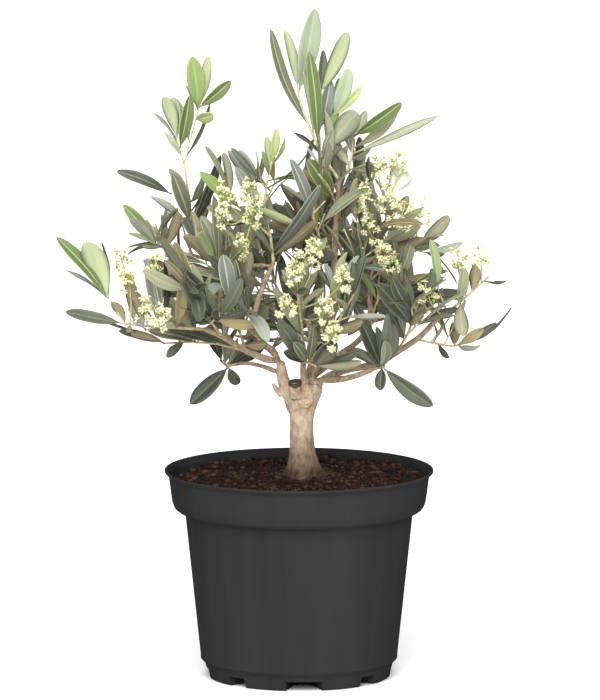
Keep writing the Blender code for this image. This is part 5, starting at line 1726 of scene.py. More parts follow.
def along_path(path: Path, count: int) -> np.ndarray:
    """Even places along a path, one row each."""
    return np.array([tuple(path.at(i / count)) for i in range(count + 1)])


# ---------------------------------------------------------------- the woody frame
@dataclass
class Trunk:
    """The trunk and every bough as one skin of bark, with its relief, its scars and its pruning cut."""

    growth: Growth
    voxel: float = 0.55           # fineness of the skin
    ridge: float = 0.3            # depth of the trunk's long ridges
    grain: float = 0.22           # and of its fine grain
    flare_sides: int = 40
    hollow_depth: float = 1.6     # of the old pruning cut
    FLAT = 0.9                    # the trunk is a little thinner front to back
    SCAR = 4.6                    # the healed scar's middle, across
    HOLLOW = (-2.9, 210.2, 4.9, 3.6)   # the pruning cut's hollow: across, height, half sizes
    AXIS_STEP = 1.5               # between the places along the axes
    TRUNK, BOUGH, HEART, HEALED = range(4)   # its finishes, in order

    @staticmethod
    def plain() -> Shape:
        """The trunk's plain tube for the touch test.

        Returns:
            Its points and faces.
        """
        sides = 14
        points: list[Vector] = []
        for height, across, depth, half in TRUNK_RINGS:
            for k in range(sides):
                turn = math.tau * k / sides
                out = Vector((math.cos(turn), Trunk.FLAT * math.sin(turn), 0))
                points.append(Vector((across, depth, height)) + out * half)
        return points, flat_ended(len(TRUNK_RINGS), sides)

    def column(self) -> Solid:
        """The trunk's smooth column from the soil to the fork, its foot lobed by the root flare.

        Returns:
            Its points and faces.
        """
        rings = np.array(TRUNK_RINGS)
        heights = np.linspace(rings[0, 0], rings[-1, 0], 60)
        across, depth, half = (np.interp(heights, rings[:, 0], rings[:, i]) for i in (1, 2, 3))
        turns = np.arange(self.flare_sides) * math.tau / self.flare_sides
        rows = []
        for height, x, y, radius in zip(heights, across, depth, half):
            low = math.exp(-(height - TRUNK_FOOT) / 9)
            lobes = 1 + 0.09 * low * np.cos(4 * turns + 0.6) + 0.02 * np.cos(3 * turns + height / 30)
            rows.append(np.stack([x + radius * lobes * np.cos(turns),
                                  y + self.FLAT * radius * lobes * np.sin(turns),
                                  np.full(self.flare_sides, height)], axis=1))
        return np.vstack(rows), flat_ended(len(heights), self.flare_sides)

    def limb(self, limb: GrownLimb, name: str) -> Solid:
        """A bough's round tube with a swollen collar and slight knots along it.

        Args:
            limb: the bough as it grew.
            name: its name, which settles where its knots are.

        Returns:
            Its points and faces.
        """
        count = max(6, round(limb.path.length / 3))
        shares = np.linspace(0, 1, count + 1)
        places = shares * limb.path.length
        collar = 1 + 0.35 * np.exp(-places / 7)
        seed = sum(ord(letter) for letter in name)
        knots = 1 + 0.07 * np.sin(places / 4.7 + seed) ** 8
        rise = np.clip(0.25 + places / 13, 0, 1)
        radii = limb.radii(shares) * collar * knots
        return ring_tube(along_path(limb.path, count), radii * rise, 16)

    def cuts(self) -> list[Solid]:
        """The old pruning stub, its knob, the small broken spur and the lip of a healed scar.

        Returns:
            The points and faces of each.
        """
        stub = np.array([(-1.5, -6.5, 200.0), (-2.6, -8.0, 206.0), (-3.0, -8.8, 211.5)])
        knob = np.array([(4.5, -7.5, 200.0), (4.6, -8.2, 207.0), (4.8, -8.0, 213.5)])
        spur = np.array([(-12.0, -3.0, 200.5), (-16.0, -4.0, 204.5), (-18.2, -4.4, 208.5)])
        made = [ring_tube(stub, np.array([5.4, 5.0, 4.6]), 20),
                ring_tube(knob, np.array([3.4, 2.6, 2.2]), 14),
                ring_tube(spur, np.array([2.6, 1.9, 1.3]), 12)]
        turns = np.linspace(math.radians(205), math.radians(345), 14)
        for drop, thick in ((0.0, 1.0), (2.3, 0.7)):
            lip = np.stack([self.SCAR + (5.8 - drop) * np.cos(turns), -8.9 + 0.02 * (turns - 4.8) ** 2,
                            198.5 - drop + 3.6 * np.sin(turns)], axis=1)
            made.append(ring_tube(lip, thick * np.sin(np.linspace(0.35, 2.8, 14)), 8))
        return made

    def build(self) -> bpy.types.Object:
        """The skin with its relief and its finishes.

        Returns:
            The skin, which stands for the trunk and the boughs.
        """
        pile = Pile()
        pile.add(self.column())
        for name, limb in self.growth.limbs.items():
            pile.add(self.limb(limb, name))
        for cut in self.cuts():
            pile.add(cut)
        rough = pile.make("bark_skin")
        remesh = rough.modifiers.new("skin", "REMESH")
        remesh.mode = "VOXEL"
        remesh.voxel_size = self.voxel * MM
        smooth = rough.modifiers.new("soften", "SMOOTH")
        smooth.factor, smooth.iterations = 0.5, 4
        mesh = evaluated(rough)
        bpy.data.objects.remove(rough)
        self.relief(mesh)
        made = placed("bark", mesh)
        mesh.materials.clear()
        for finish in self.finishes():
            mesh.materials.append(finish)
        mesh.polygons.foreach_set("material_index", self.zones(mesh))
        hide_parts("trunk", *[limb.name for limb in LIMBS if not limb.node])
        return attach(made, "root")

    def finishes(self) -> list[bpy.types.Material]:
        """The bark of the trunk and of the boughs, the pruning cut's dark heart and the healed scar.

        Returns:
            The materials, in order.
        """
        return [
            BarkFinish("bark_trunk", (194, 174, 151), (170, 149, 126), (132, 110, 88),
                       (154, 143, 118)).make(),
            BarkFinish("bark_bough", (184, 165, 140), (152, 131, 107), (104, 87, 70), (146, 136, 106),
                       420.0).make(),
            Nodes("dark_heartwood").set(Roughness=0.95, Base_Color=linear((66, 52, 36))).material,
            BarkFinish("healed_scar", (206, 180, 154), (170, 136, 110), (112, 84, 64), (170, 140, 112),
                       420.0).make()]

    def axes(self) -> tuple[KDTree, list[tuple[float, bool]]]:
        """Places along every limb's axis.

        Returns:
            A tree to look up the nearest in, and for each its radius and whether it's of the trunk.
        """
        places = [(Vector((x, y, height)), half, True) for height, x, y, half in TRUNK_RINGS]
        rings = np.array(TRUNK_RINGS)
        for height in np.arange(rings[0, 0], rings[-1, 0], self.AXIS_STEP):
            x, y, half = (float(np.interp(height, rings[:, 0], rings[:, i])) for i in (1, 2, 3))
            places.append((Vector((x, y, height)), half, True))
        for name, limb in self.growth.limbs.items():
            count = max(4, round(limb.path.length / self.AXIS_STEP))
            for i in range(count + 1):
                radius = limb.foot_radius + (limb.tip_radius - limb.foot_radius) * i / count
                places.append((limb.path.at(i / count), radius, name in ("left_arm", "right_knee")))
        tree = KDTree(len(places))
        for i, (place, _, _) in enumerate(places):
            tree.insert(place, i)
        tree.balance()
        return tree, [(radius, old) for _, radius, old in places]

    def relief(self, mesh: bpy.types.Mesh) -> None:
        """Moves the skin by long ridges, fine grain and small pits, finer on the thin boughs.

        Args:
            mesh: the skin.
        """
        tree, facts = self.axes()
        count = len(mesh.vertices)
        points, normals = np.zeros(count * 3), np.zeros(count * 3)
        mesh.vertices.foreach_get("co", points)
        mesh.vertices.foreach_get("normal", normals)
        points, normals = points.reshape(-1, 3) / MM, normals.reshape(-1, 3)
        for i in range(count):
            place = Vector(points[i])
            _, which, _ = tree.find(place)
            radius = facts[which][0]
            scale = min(1.0, radius / 8.0)
            ridges = Vector((place.x * 0.5, place.y * 0.5, place.z * 0.13))
            long = noise.noise(ridges) if radius > 4 else 0.0
            fine = noise.noise(place * 0.9) + 0.6 * noise.noise(place * 2.1)
            amount = self.ridge * scale * long + self.grain * (0.35 + 0.65 * scale) * fine
            if self.in_hollow(place, normals[i][1]):
                amount -= self.hollow_depth
            if place.z < TRUNK_FOOT + 0.4:
                amount = 0.0
            points[i] += normals[i] * amount
        mesh.vertices.foreach_set("co", (points * MM).ravel())
        mesh.update()

    @staticmethod
    def in_hollow(place: Vector, facing: float) -> bool:
        """Whether a place on the skin is in the dark hollow of the pruning cut, at the fork's front."""
        return facing < 0.3 and place.y < -5 and in_any((place.x, place.z), (Trunk.HOLLOW,))

    def zones(self, mesh: bpy.types.Mesh) -> np.ndarray:
        """Which finish each face takes.

        Args:
            mesh: the skin.

        Returns:
            The place of each face's finish.
        """
        tree, facts = self.axes()
        marks = np.zeros(len(mesh.polygons), np.int32)
        for face in mesh.polygons:
            place = face.center / MM
            _, which, _ = tree.find(place)
            marks[face.index] = self.TRUNK if facts[which][1] else self.BOUGH
            off = place.x - self.SCAR
            if self.in_hollow(place, face.normal.y):
                marks[face.index] = self.HEART
            elif place.y < -6 and abs(off) < 5 and 193.9 < place.z - 0.12 * off**2 < 195.4:
                marks[face.index] = self.HEALED
        return marks


@dataclass
class Shoots:
    """The masses' stems and side shoots: thin, lightly bent and swollen where the leaves stand."""

    growth: Growth
    sides: int = 7

    def build(self) -> bpy.types.Object:
        """All of them as one object.

        Returns:
            The object.
        """
        pile = Pile()
        for i, twig in enumerate(self.growth.twigs):
            count = max(5, round(twig.path.length / 2.5))
            shares = np.linspace(0, 1, count + 1)
            nodes = 1 + 0.16 * np.cos(shares * twig.path.length * math.tau / 11 + i) ** 12
            radii = twig.radii(shares) * nodes
            pile.add(ring_tube(along_path(twig.path, count), radii * 0.9, self.sides), int(twig.young))
        old = BarkFinish("shoot_bark", (206, 188, 158), (178, 156, 124), (126, 106, 82), (158, 152, 114),
                         500.0)
        green = BarkFinish("shoot_green", (214, 208, 168), (188, 182, 138), (146, 136, 98),
                           (180, 184, 128), 500.0)
        return pile.make("shoots", [old.make(), green.make()])


# ---------------------------------------------------------------- leaves
@dataclass
class Foliage:
    """Every leaf, a closed leathery blade with a stalk, a midrib and a rolled edge."""

    growth: Growth
    finishes: LeafFinishes = field(default_factory=LeafFinishes)
    thick: float = 0.36
    stalk: float = 0.07           # share of the length that is stalk
    most_triangles: int = 190000
    STATIONS = (0.0, 0.035, 0.075, 0.13, 0.2, 0.3, 0.41, 0.52, 0.63, 0.74, 0.84, 0.92, 0.97)
    TOP = (-1.0, -0.87, -0.5, -0.1, 0.1, 0.5, 0.87, 1.0)
    BOTTOM = (-0.5, -0.12, 0.12, 0.5)
    LEAST_HALF = 0.55             # half width of the stalk
    WAVY_FROM = 1.6               # half width from which the edge waves fully
    HEEL = 0.3                    # how far the foot reaches back into the shoot

    def outline(self, shares: np.ndarray) -> np.ndarray:
        """The outline, as a share of the greatest width: widest past the middle.

        Args:
            shares: places along the leaf, as shares of its length.

        Returns:
            The half width at each.
        """
        blade = np.clip((shares - self.stalk) / (1 - self.stalk), 0, 1)
        rise, fall = 0.78, 0.6
        widest = rise / (rise + fall)
        peak = widest**rise * (1 - widest) ** fall
        return np.maximum(blade**rise * (1 - blade) ** fall / peak, 0.1 * (shares < 0.2))

    def faces(self) -> tuple[Faces, list[str]]:
        """The faces that every leaf has, and the kind of each: upper, rim, rib or under.

        Returns:
            The faces and their kinds.
        """
        tops, bottoms = len(self.TOP), len(self.BOTTOM)
        ring = tops + bottoms
        faces: Faces = []
        kinds: list[str] = []
        over = ["rim", "upper", "upper", "rib", "upper", "upper", "rim"]
        order = [0] + [tops + i for i in range(bottoms)] + [tops - 1]
        below = list(zip(order, order[1:], ["under", "under", "rib", "under", "under"]))
        for s in range(len(self.STATIONS) - 1):
            a, b = s * ring, (s + 1) * ring
            faces += [(a + i, a + i + 1, b + i + 1, b + i) for i in range(len(over))]
            faces += [(b + i, b + j, a + j, a + i) for i, j, _ in below]
            kinds += over + [kind for _, _, kind in below]
        last = (len(self.STATIONS) - 1) * ring
        tip, foot = last + ring, last + ring + 1
        for i, kind in enumerate(over):
            faces += [(last + i, last + i + 1, tip), (foot, i + 1, i)]
            kinds += [kind, "rib"]
        for i, j, kind in below:
            faces += [(tip, last + j, last + i), (i, j, foot)]
            kinds += [kind, "rib"]
        return faces, kinds

    def points(self, leaf: GrownLeaf, pick: int) -> np.ndarray:
        """A leaf's points.

        Args:
            leaf: where it grew.
            pick: its number, which settles its small differences.

        Returns:
            One row a point, in the order that `faces` counts.
        """
        blade = leaf.blade
        foot, tip = np.array(blade.foot), np.array(blade.tip)
        length = float(np.linalg.norm(tip - foot))
        ahead = (tip - foot) / length
        up = unit(np.array(blade.face) - ahead * float(np.array(blade.face) @ ahead))
        side = np.cross(ahead, up)
        shares = np.array(self.STATIONS + (1.0,))
        half = blade.width / 2 * self.outline(shares)
        fold = 0.2 + 0.34 * (0.5 + 0.5 * math.sin(pick * 1.7))
        twist = 0.22 * math.sin(pick * 2.9) * shares
        wave = 0.35 * np.sin(shares * (9 + pick % 4) + pick)
        arch = blade.bow * length * np.sin(math.pi * shares)
        curve = leaf.sweep * length * np.sin(math.pi * shares)
        line = foot + ahead * (shares * length)[:, None] + up * arch[:, None] + side * curve[:, None]
        rows = []
        for centre, wide, turn, ripple, share in zip(line, half, twist, wave, shares):
            across, over = swung(side, up, turn), swung(up, -side, turn)
            body = min(1.0, wide / self.WAVY_FROM)
            row = []
            for s in self.TOP:
                lift = fold * abs(s) * wide + ripple * abs(s) ** 2 * body * (1 if s > 0 else -1)
                lift += -0.5 * max(0.0, abs(s) - 0.8) * wide * 0.8 + (0.0 if abs(s) > 0.2 else -0.12)
                skin = self.thick / 2 if abs(s) < 1 else 0.0
                row.append(centre + across * s * max(wide, self.LEAST_HALF) + over * (lift + skin))
            for s in self.BOTTOM:
                lift = fold * abs(s) * wide + ripple * abs(s) ** 2 * body * (1 if s > 0 else -1)
                rib = 0.45 * (1 - share) + 0.15 if abs(s) < 0.2 else 0.0
                below = lift - self.thick / 2 - rib
                row.append(centre + across * s * max(wide, self.LEAST_HALF) + over * below)
            rows.append(row)
        ringed = np.array(rows[:-1]).reshape(-1, 3)
        return np.vstack([ringed, line[-1], foot - ahead * self.HEEL])

    def build(self) -> list[bpy.types.Object]:
        """All leaves, in pieces small enough to keep.

        Returns:
            The pieces.
        """
        faces, kinds = self.faces()
        each = sum(len(face) - 2 for face in faces)
        materials = self.finishes.make()
        pieces: list[bpy.types.Object] = []
        pile = Pile()
        for pick, leaf in enumerate(self.growth.leaves):
            if pile.count and (len(pile.blocks) + 1) * each > self.most_triangles:
                pieces.append(pile.make(f"leaves_{len(pieces)}", materials))
                pile = Pile()
            upper, under, rib = self.finishes.place(leaf.tone, pick * 5 % 3)
            which = {"upper": upper, "rim": rib, "under": under, "rib": rib}
            pile.add((self.points(leaf, pick), faces), [which[kind] for kind in kinds])
        pieces.append(pile.make(f"leaves_{len(pieces)}", materials))
        return pieces


# ---------------------------------------------------------------- blossom
@dataclass
class Blossom:
    """The flower clusters: stalks, opposite arms, open four-petalled flowers and round buds."""

    growth: Growth
    petal: float = 2.5
    bud: float = 0.95
    arm: float = 8.6
    spacing: float = 5.0
    stalk: tuple[float, float] = (0.62, 0.38)      # radius at its foot and at its tip
    missing: float = 0.12                          # share of the arms that are missing
    creamy: float = 0.45                           # share of the flowers that are creamier

    def lens(self, centre: np.ndarray, along: np.ndarray, across: np.ndarray, over: np.ndarray,
             sizes: Spot) -> Solid:
        """A small closed lens with six corners, such as a petal.

        Args:
            centre: its middle.
            along: its length's direction.
            across: its width's direction.
            over: the way its upper side faces.
            sizes: half length, half width and half thickness.

        Returns:
            Its points and faces.
        """
        turns = np.arange(6) * math.tau / 6
        rim = (centre + np.cos(turns)[:, None] * along * sizes[0]
               + np.sin(turns)[:, None] * across * sizes[1]
               + (np.cos(turns) ** 2)[:, None] * over * sizes[2] * 1.5)
        points = np.vstack([rim, centre + over * sizes[2], centre - over * sizes[2]])
        faces: Faces = []
        for k in range(6):
            faces += [(k, (k + 1) % 6, 6), ((k + 1) % 6, k, 7)]
        return points, faces

    def ball(self, centre: np.ndarray, ahead: np.ndarray, radius: float, long: float) -> Solid:
        """A small egg-shaped closed ball, long in one direction.

        Args:
            centre: its middle.
            ahead: its length's direction.
            radius: half its width.
            long: how long it is for its width.

        Returns:
            Its points and faces.
        """
        steps = np.array([-0.62, 0.0, 0.62])
        centres = centre + ahead * (steps * radius * long)[:, None]
        return ring_tube(centres, radius * np.array([0.72, 1.0, 0.66]), 6)

    def flower(self, pile: Pile, centre: np.ndarray, ahead: np.ndarray, turn: float, cream: bool) -> None:
        """An open flower: four spread petals round a yellow heart.

        Args:
            pile: takes its shapes.
            centre: its middle.
            ahead: the way it faces.
            turn: how it is turned.
            cream: whether its petals are of the creamier kind.
        """
        side, other = (np.array(v) for v in across_of(Vector(ahead)))
        mark = (Bloomed.PETAL_CREAM if cream else Bloomed.PETAL).place
        sizes = (self.petal * 0.6, self.petal * 0.46, 0.16)
        for k in range(4):
            out = swung(side, other, turn + k * math.pi / 2)
            out = out * 0.93 + ahead * 0.3 * math.sin(turn * 9 + k * 2)
            across = np.cross(out, ahead)
            over = np.cross(across, out)
            pile.add(self.lens(centre + out * self.petal * 0.62, out, across, over, sizes), mark)
        pile.add(self.ball(centre + ahead * 0.4, ahead, 0.52, 1.3), Bloomed.HEART.place)

    def cluster(self, pile: Pile, bloom: GrownBloom) -> None:
        """One cluster: a stalk that turns up, pairs of arms that shorten to its end, and its flowers.

        Args:
            pile: takes its shapes.
            bloom: where it grew.
        """
        rng = random.Random(bloom.seed * 331 + 7)
        foot, tip = np.array(bloom.foot), np.array(bloom.tip)
        bearing = self.spacing * (bloom.pairs + 2.4)
        rise = np.array([rng.uniform(-0.35, 0.35), rng.uniform(-0.5, 0.1), 1.0])
        below = tip - unit(rise) * bearing
        shares = np.linspace(0, 1, 11)[:, None]
        line = foot * (1 - shares) ** 2 + 2 * below * shares * (1 - shares) + tip * shares**2
        pile.add(ring_tube(line, np.linspace(*self.stalk, len(line)), 6), Bloomed.STALK.place)
        ends = self.arms(line, bloom.pairs + 3, bearing, rng)
        for start, end, aim in ends:
            stem = np.linspace(start, end, 3)
            pile.add(ring_tube(stem, np.array([0.34, 0.28, 0.3]), 4), Bloomed.STALK.place)
            if rng.random() < bloom.opened:
                self.flower(pile, end, aim, rng.uniform(0, math.pi / 2), rng.random() < self.creamy)
            else:
                kind = Bloomed.BUD if rng.random() < 0.6 else Bloomed.BUD_GREEN
                size = self.bud * rng.uniform(0.8, 1.25)
                pile.add(self.ball(end + aim * size * 0.5, aim, size, 1.25), kind.place)

    def arms(self, line: np.ndarray, pairs: int, bearing: float,
             rng: random.Random) -> list[tuple[np.ndarray, np.ndarray, np.ndarray]]:
        """The flower stalks of a cluster.

        Args:
            line: its main stalk, one row a place.
            pairs: how many pairs of arms it has.
            bearing: the length that bears them.
            rng: the cluster's own chance.

        Returns:
            Each one's start, its end and the way its flower faces.
        """
        runs = np.linalg.norm(np.diff(line, axis=0), axis=1)
        length = float(runs.sum())
        places = np.concatenate([[0.0], np.cumsum(runs)]) / length
        top = unit(line[-1] - line[-2])
        ends = [(line[-1], line[-1] + top * 1.6, top)]
        turn = rng.uniform(0, math.pi)
        for i in range(pairs):
            share = 1 - min(0.9, (i + 0.7) / pairs * bearing / length)
            heart, later = (np.array([np.interp(at, places, line[:, axis]) for axis in range(3)])
                            for at in (share, share + 0.02))
            ahead = unit(later - heart)
            side, other = (np.array(v) for v in across_of(Vector(ahead)))
            reach = self.arm * (0.3 + 0.7 * (i + 1) / pairs)
            for way in (1, -1):
                if rng.random() < self.missing:
                    continue
                out = swung(side, other, turn) * way
                aim = unit(out * rng.uniform(0.7, 1.0) + ahead * rng.uniform(0.35, 0.8))
                long = reach * rng.uniform(0.55, 1.2)
                ends.append((heart, heart + aim * long, aim))
                if long > 2.5:
                    swing = np.cross(aim, ahead)
                    for lean in (1, -1, 0.2):
                        small = unit(aim * 0.35 + swing * lean * 0.9 + ahead * rng.uniform(-0.8, 0.8))
                        start = heart + aim * long * rng.uniform(0.72, 0.95)
                        ends.append((start, start + small * rng.uniform(1.6, 2.8), small))
            turn += math.pi / 2 + rng.uniform(-0.3, 0.3)
        return ends

    def build(self) -> bpy.types.Object:
        """All clusters as one object.

        Returns:
            The object.
        """
        pile = Pile()
        for bloom in self.growth.blooms:
            self.cluster(pile, bloom)
        log.info("blossom has %d triangles", pile.triangles)
        return pile.make("blossom", Bloomed.finishes())


# ---------------------------------------------------------------- pot and soil
def rounded(corners: Sequence[tuple[float, float, float]], steps: int = 5) -> list[tuple[float, float]]:
    """A section's outline with its corners rounded.

    Args:
        corners: (radius, height, length of the rounding on either side) in order.
        steps: how many parts each rounding has.

    Returns:
        (radius, height) places along the rounded outline.
    """
    made = [corners[0][:2]]
    for before, here, after in zip(corners, corners[1:], corners[2:]):
        corner = np.array(here[:2])
        if here[2] <= 0:
            made.append(here[:2])
            continue
        arms = []
        for other in (before, after):
            arm = np.array(other[:2]) - corner
            long = float(np.linalg.norm(arm))
            arms.append(corner + arm / long * min(here[2], long * 0.48))
        for i in range(steps + 1):
            t = i / steps
            place = arms[0] * (1 - t) ** 2 + corner * 2 * t * (1 - t) + arms[1] * t**2
            made.append((float(place[0]), float(place[1])))
    return made + [corners[-1][:2]]


def turned(profile: Sequence[tuple[float, float]], sides: int,
           lift: Optional[Callable[[np.ndarray, np.ndarray], np.ndarray]] = None) -> Solid:
    """A closed turned shape from (radius, height) places that start and end on the axis.

    Args:
        profile: its section.
        sides: how many sides it has.
        lift: how far each place of a ring is raised, from the places' x and y.

    Returns:
        Its points and faces.
    """
    turns = np.arange(sides) * math.tau / sides
    rows = [np.array([[0.0, 0.0, profile[0][1]]])]
    for radius, height in profile[1:-1]:
        x, y = radius * np.cos(turns), radius * np.sin(turns)
        rise = lift(x, y) if lift and height > Soil.LEVEL - 3 else np.zeros(sides)
        rows.append(np.stack([x, y, height + rise], axis=1))
    top = float(lift(np.zeros(1), np.zeros(1))[0]) if lift else 0.0
    rows.append(np.array([[0.0, 0.0, profile[-1][1] + top]]))
    points = np.vstack(rows)
    last = len(points) - 1
    faces: Faces = []
    for k in range(sides):
        after = (k + 1) % sides
        faces.append((0, 1 + after, 1 + k))
        for ring in range(len(profile) - 3):
            a, b = 1 + ring * sides + k, 1 + ring * sides + after
            faces.append((a, b, b + sides, a + sides))
        faces.append((last - sides + k, last - sides + after, last))
    return points, faces


@dataclass
class Pot:
    """The tapered nursery pot: rolled rim, flared band, a bead above its foot, notches and drains."""

    rim: float = 95.0
    height: float = 147.2
    foot: float = 64.6
    floor: float = 8.3
    sides: int = 224
    feet: int = 8
    notch_height: float = 6.8
    notch_halves: tuple[float, float] = (20.0, 11.0)    # half widths, by turns
    notch_turn: float = math.radians(3)
    drain: float = 5.0
    drain_at: float = 52.0
    sharp: float = math.radians(32)       # edges that turn more than this stay sharp

    def section(self) -> list[tuple[float, float]]:
        """The pot's section, up the outside and down the inside.

        Returns:
            (radius, height) places that start and end on the axis.
        """
        outer = [(0.0, 0.0, 0.0), (self.foot, 0.0, 1.6), (66.4, 9.6, 0.8), (68.5, 11.6, 0.8),
                 (68.9, 12.6, 0.3), (69.6, 12.9, 0.3), (69.5, 14.6, 0.4), (80.5, 117.4, 0.9),
                 (87.2, 119.0, 4.0), (89.5, 124.0, 3.0), (92.0, 143.2, 1.2), (94.3, 144.9, 1.0),
                 (self.rim, 146.1, 0.6), (94.6, self.height, 0.5)]
        inner = [(93.2, 147.0, 0.8), (90.7, 143.4, 1.5), (88.2, 125.6, 3.0), (85.2, 121.4, 2.0),
                 (79.1, 119.2, 2.0), (68.0, 15.0, 3.0), (65.0, self.floor, 2.0), (0.0, self.floor, 0.0)]
        return rounded(outer + inner)

    def notch(self, turn: float, half: float) -> Solid:
        """A notch's room: it narrows towards the middle of the pot and towards its roof.

        Args:
            turn: where round the pot.
            half: half its width at the wall.

        Returns:
            Its points and faces.
        """
        points = []
        for height, spread in ((-5.0, 1.0), (self.notch_height, 0.86)):
            for along, side in ((40.0, -half * 0.3), (80.0, -half), (80.0, half), (40.0, half * 0.3)):
                side *= spread
                points.append((along * math.cos(turn) - side * math.sin(turn),
                               along * math.sin(turn) + side * math.cos(turn), height))
        walls = [(i, (i + 1) % 4, (i + 1) % 4 + 4, i + 4) for i in range(4)]
        return np.array(points), [(3, 2, 1, 0), (4, 5, 6, 7)] + walls

    def rooms(self) -> Iterable[tuple[str, Solid]]:
        """The rooms that are cut out of it: a notch and a drain on every turn.

        Returns:
            The name and the shape of each.
        """
        for i in range(self.feet):
            turn = -math.pi / 2 + self.notch_turn + math.tau * i / self.feet
            yield f"notch_room_{i}", self.notch(turn, self.notch_halves[i % 2])
            middle = np.array([self.drain_at * math.cos(turn), self.drain_at * math.sin(turn), 0.0])
            ends = np.array([middle + (0, 0, 2.0), middle + (0, 0, 20.0)])
            yield f"drain_room_{i}", ring_tube(ends, np.full(2, self.drain), 24)

    def build(self) -> bpy.types.Object:
        """The pot, cut and finished.

        Returns:
            The pot.
        """
        pot = made_of("nursery_pot", turned(self.section(), self.sides), [self.finish()])
        tools = [made_of(name, shape) for name, shape in self.rooms()]
        for tool in tools:
            cut = pot.modifiers.new(tool.name, "BOOLEAN")
            cut.operation, cut.solver, cut.object = "DIFFERENCE", "EXACT", tool
        mesh = evaluated(pot)
        pot.modifiers.clear()
        pot.data = mesh
        for tool in tools:
            bpy.data.objects.remove(tool)
        mesh.set_sharp_from_angle(angle=self.sharp)
        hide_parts("pot")
        return pot

    def finish(self) -> bpy.types.Material:
        """Charcoal plastic, matte, with fine moulded grain and faint upright streaks.

        Returns:
            The material.
        """
        nodes = Nodes("charcoal_plastic").set(Specular_IOR_Level=0.0)
        streaks = nodes.noise(34.0, 3.0, 0.55, (1.0, 1.0, 0.06))
        nodes.colour(nodes.ramp(streaks, ((0.3, (39, 39, 40)), (0.7, (46, 46, 46)))))
        nodes.roughness(nodes.steps(nodes.noise(60.0, 4.0), 0.3, 0.7, 0.5, 0.62))
        return nodes.bump(nodes.noise(1800.0, 3.0), 0.00012, 0.5).bump(streaks, 0.0003, 0.25).material


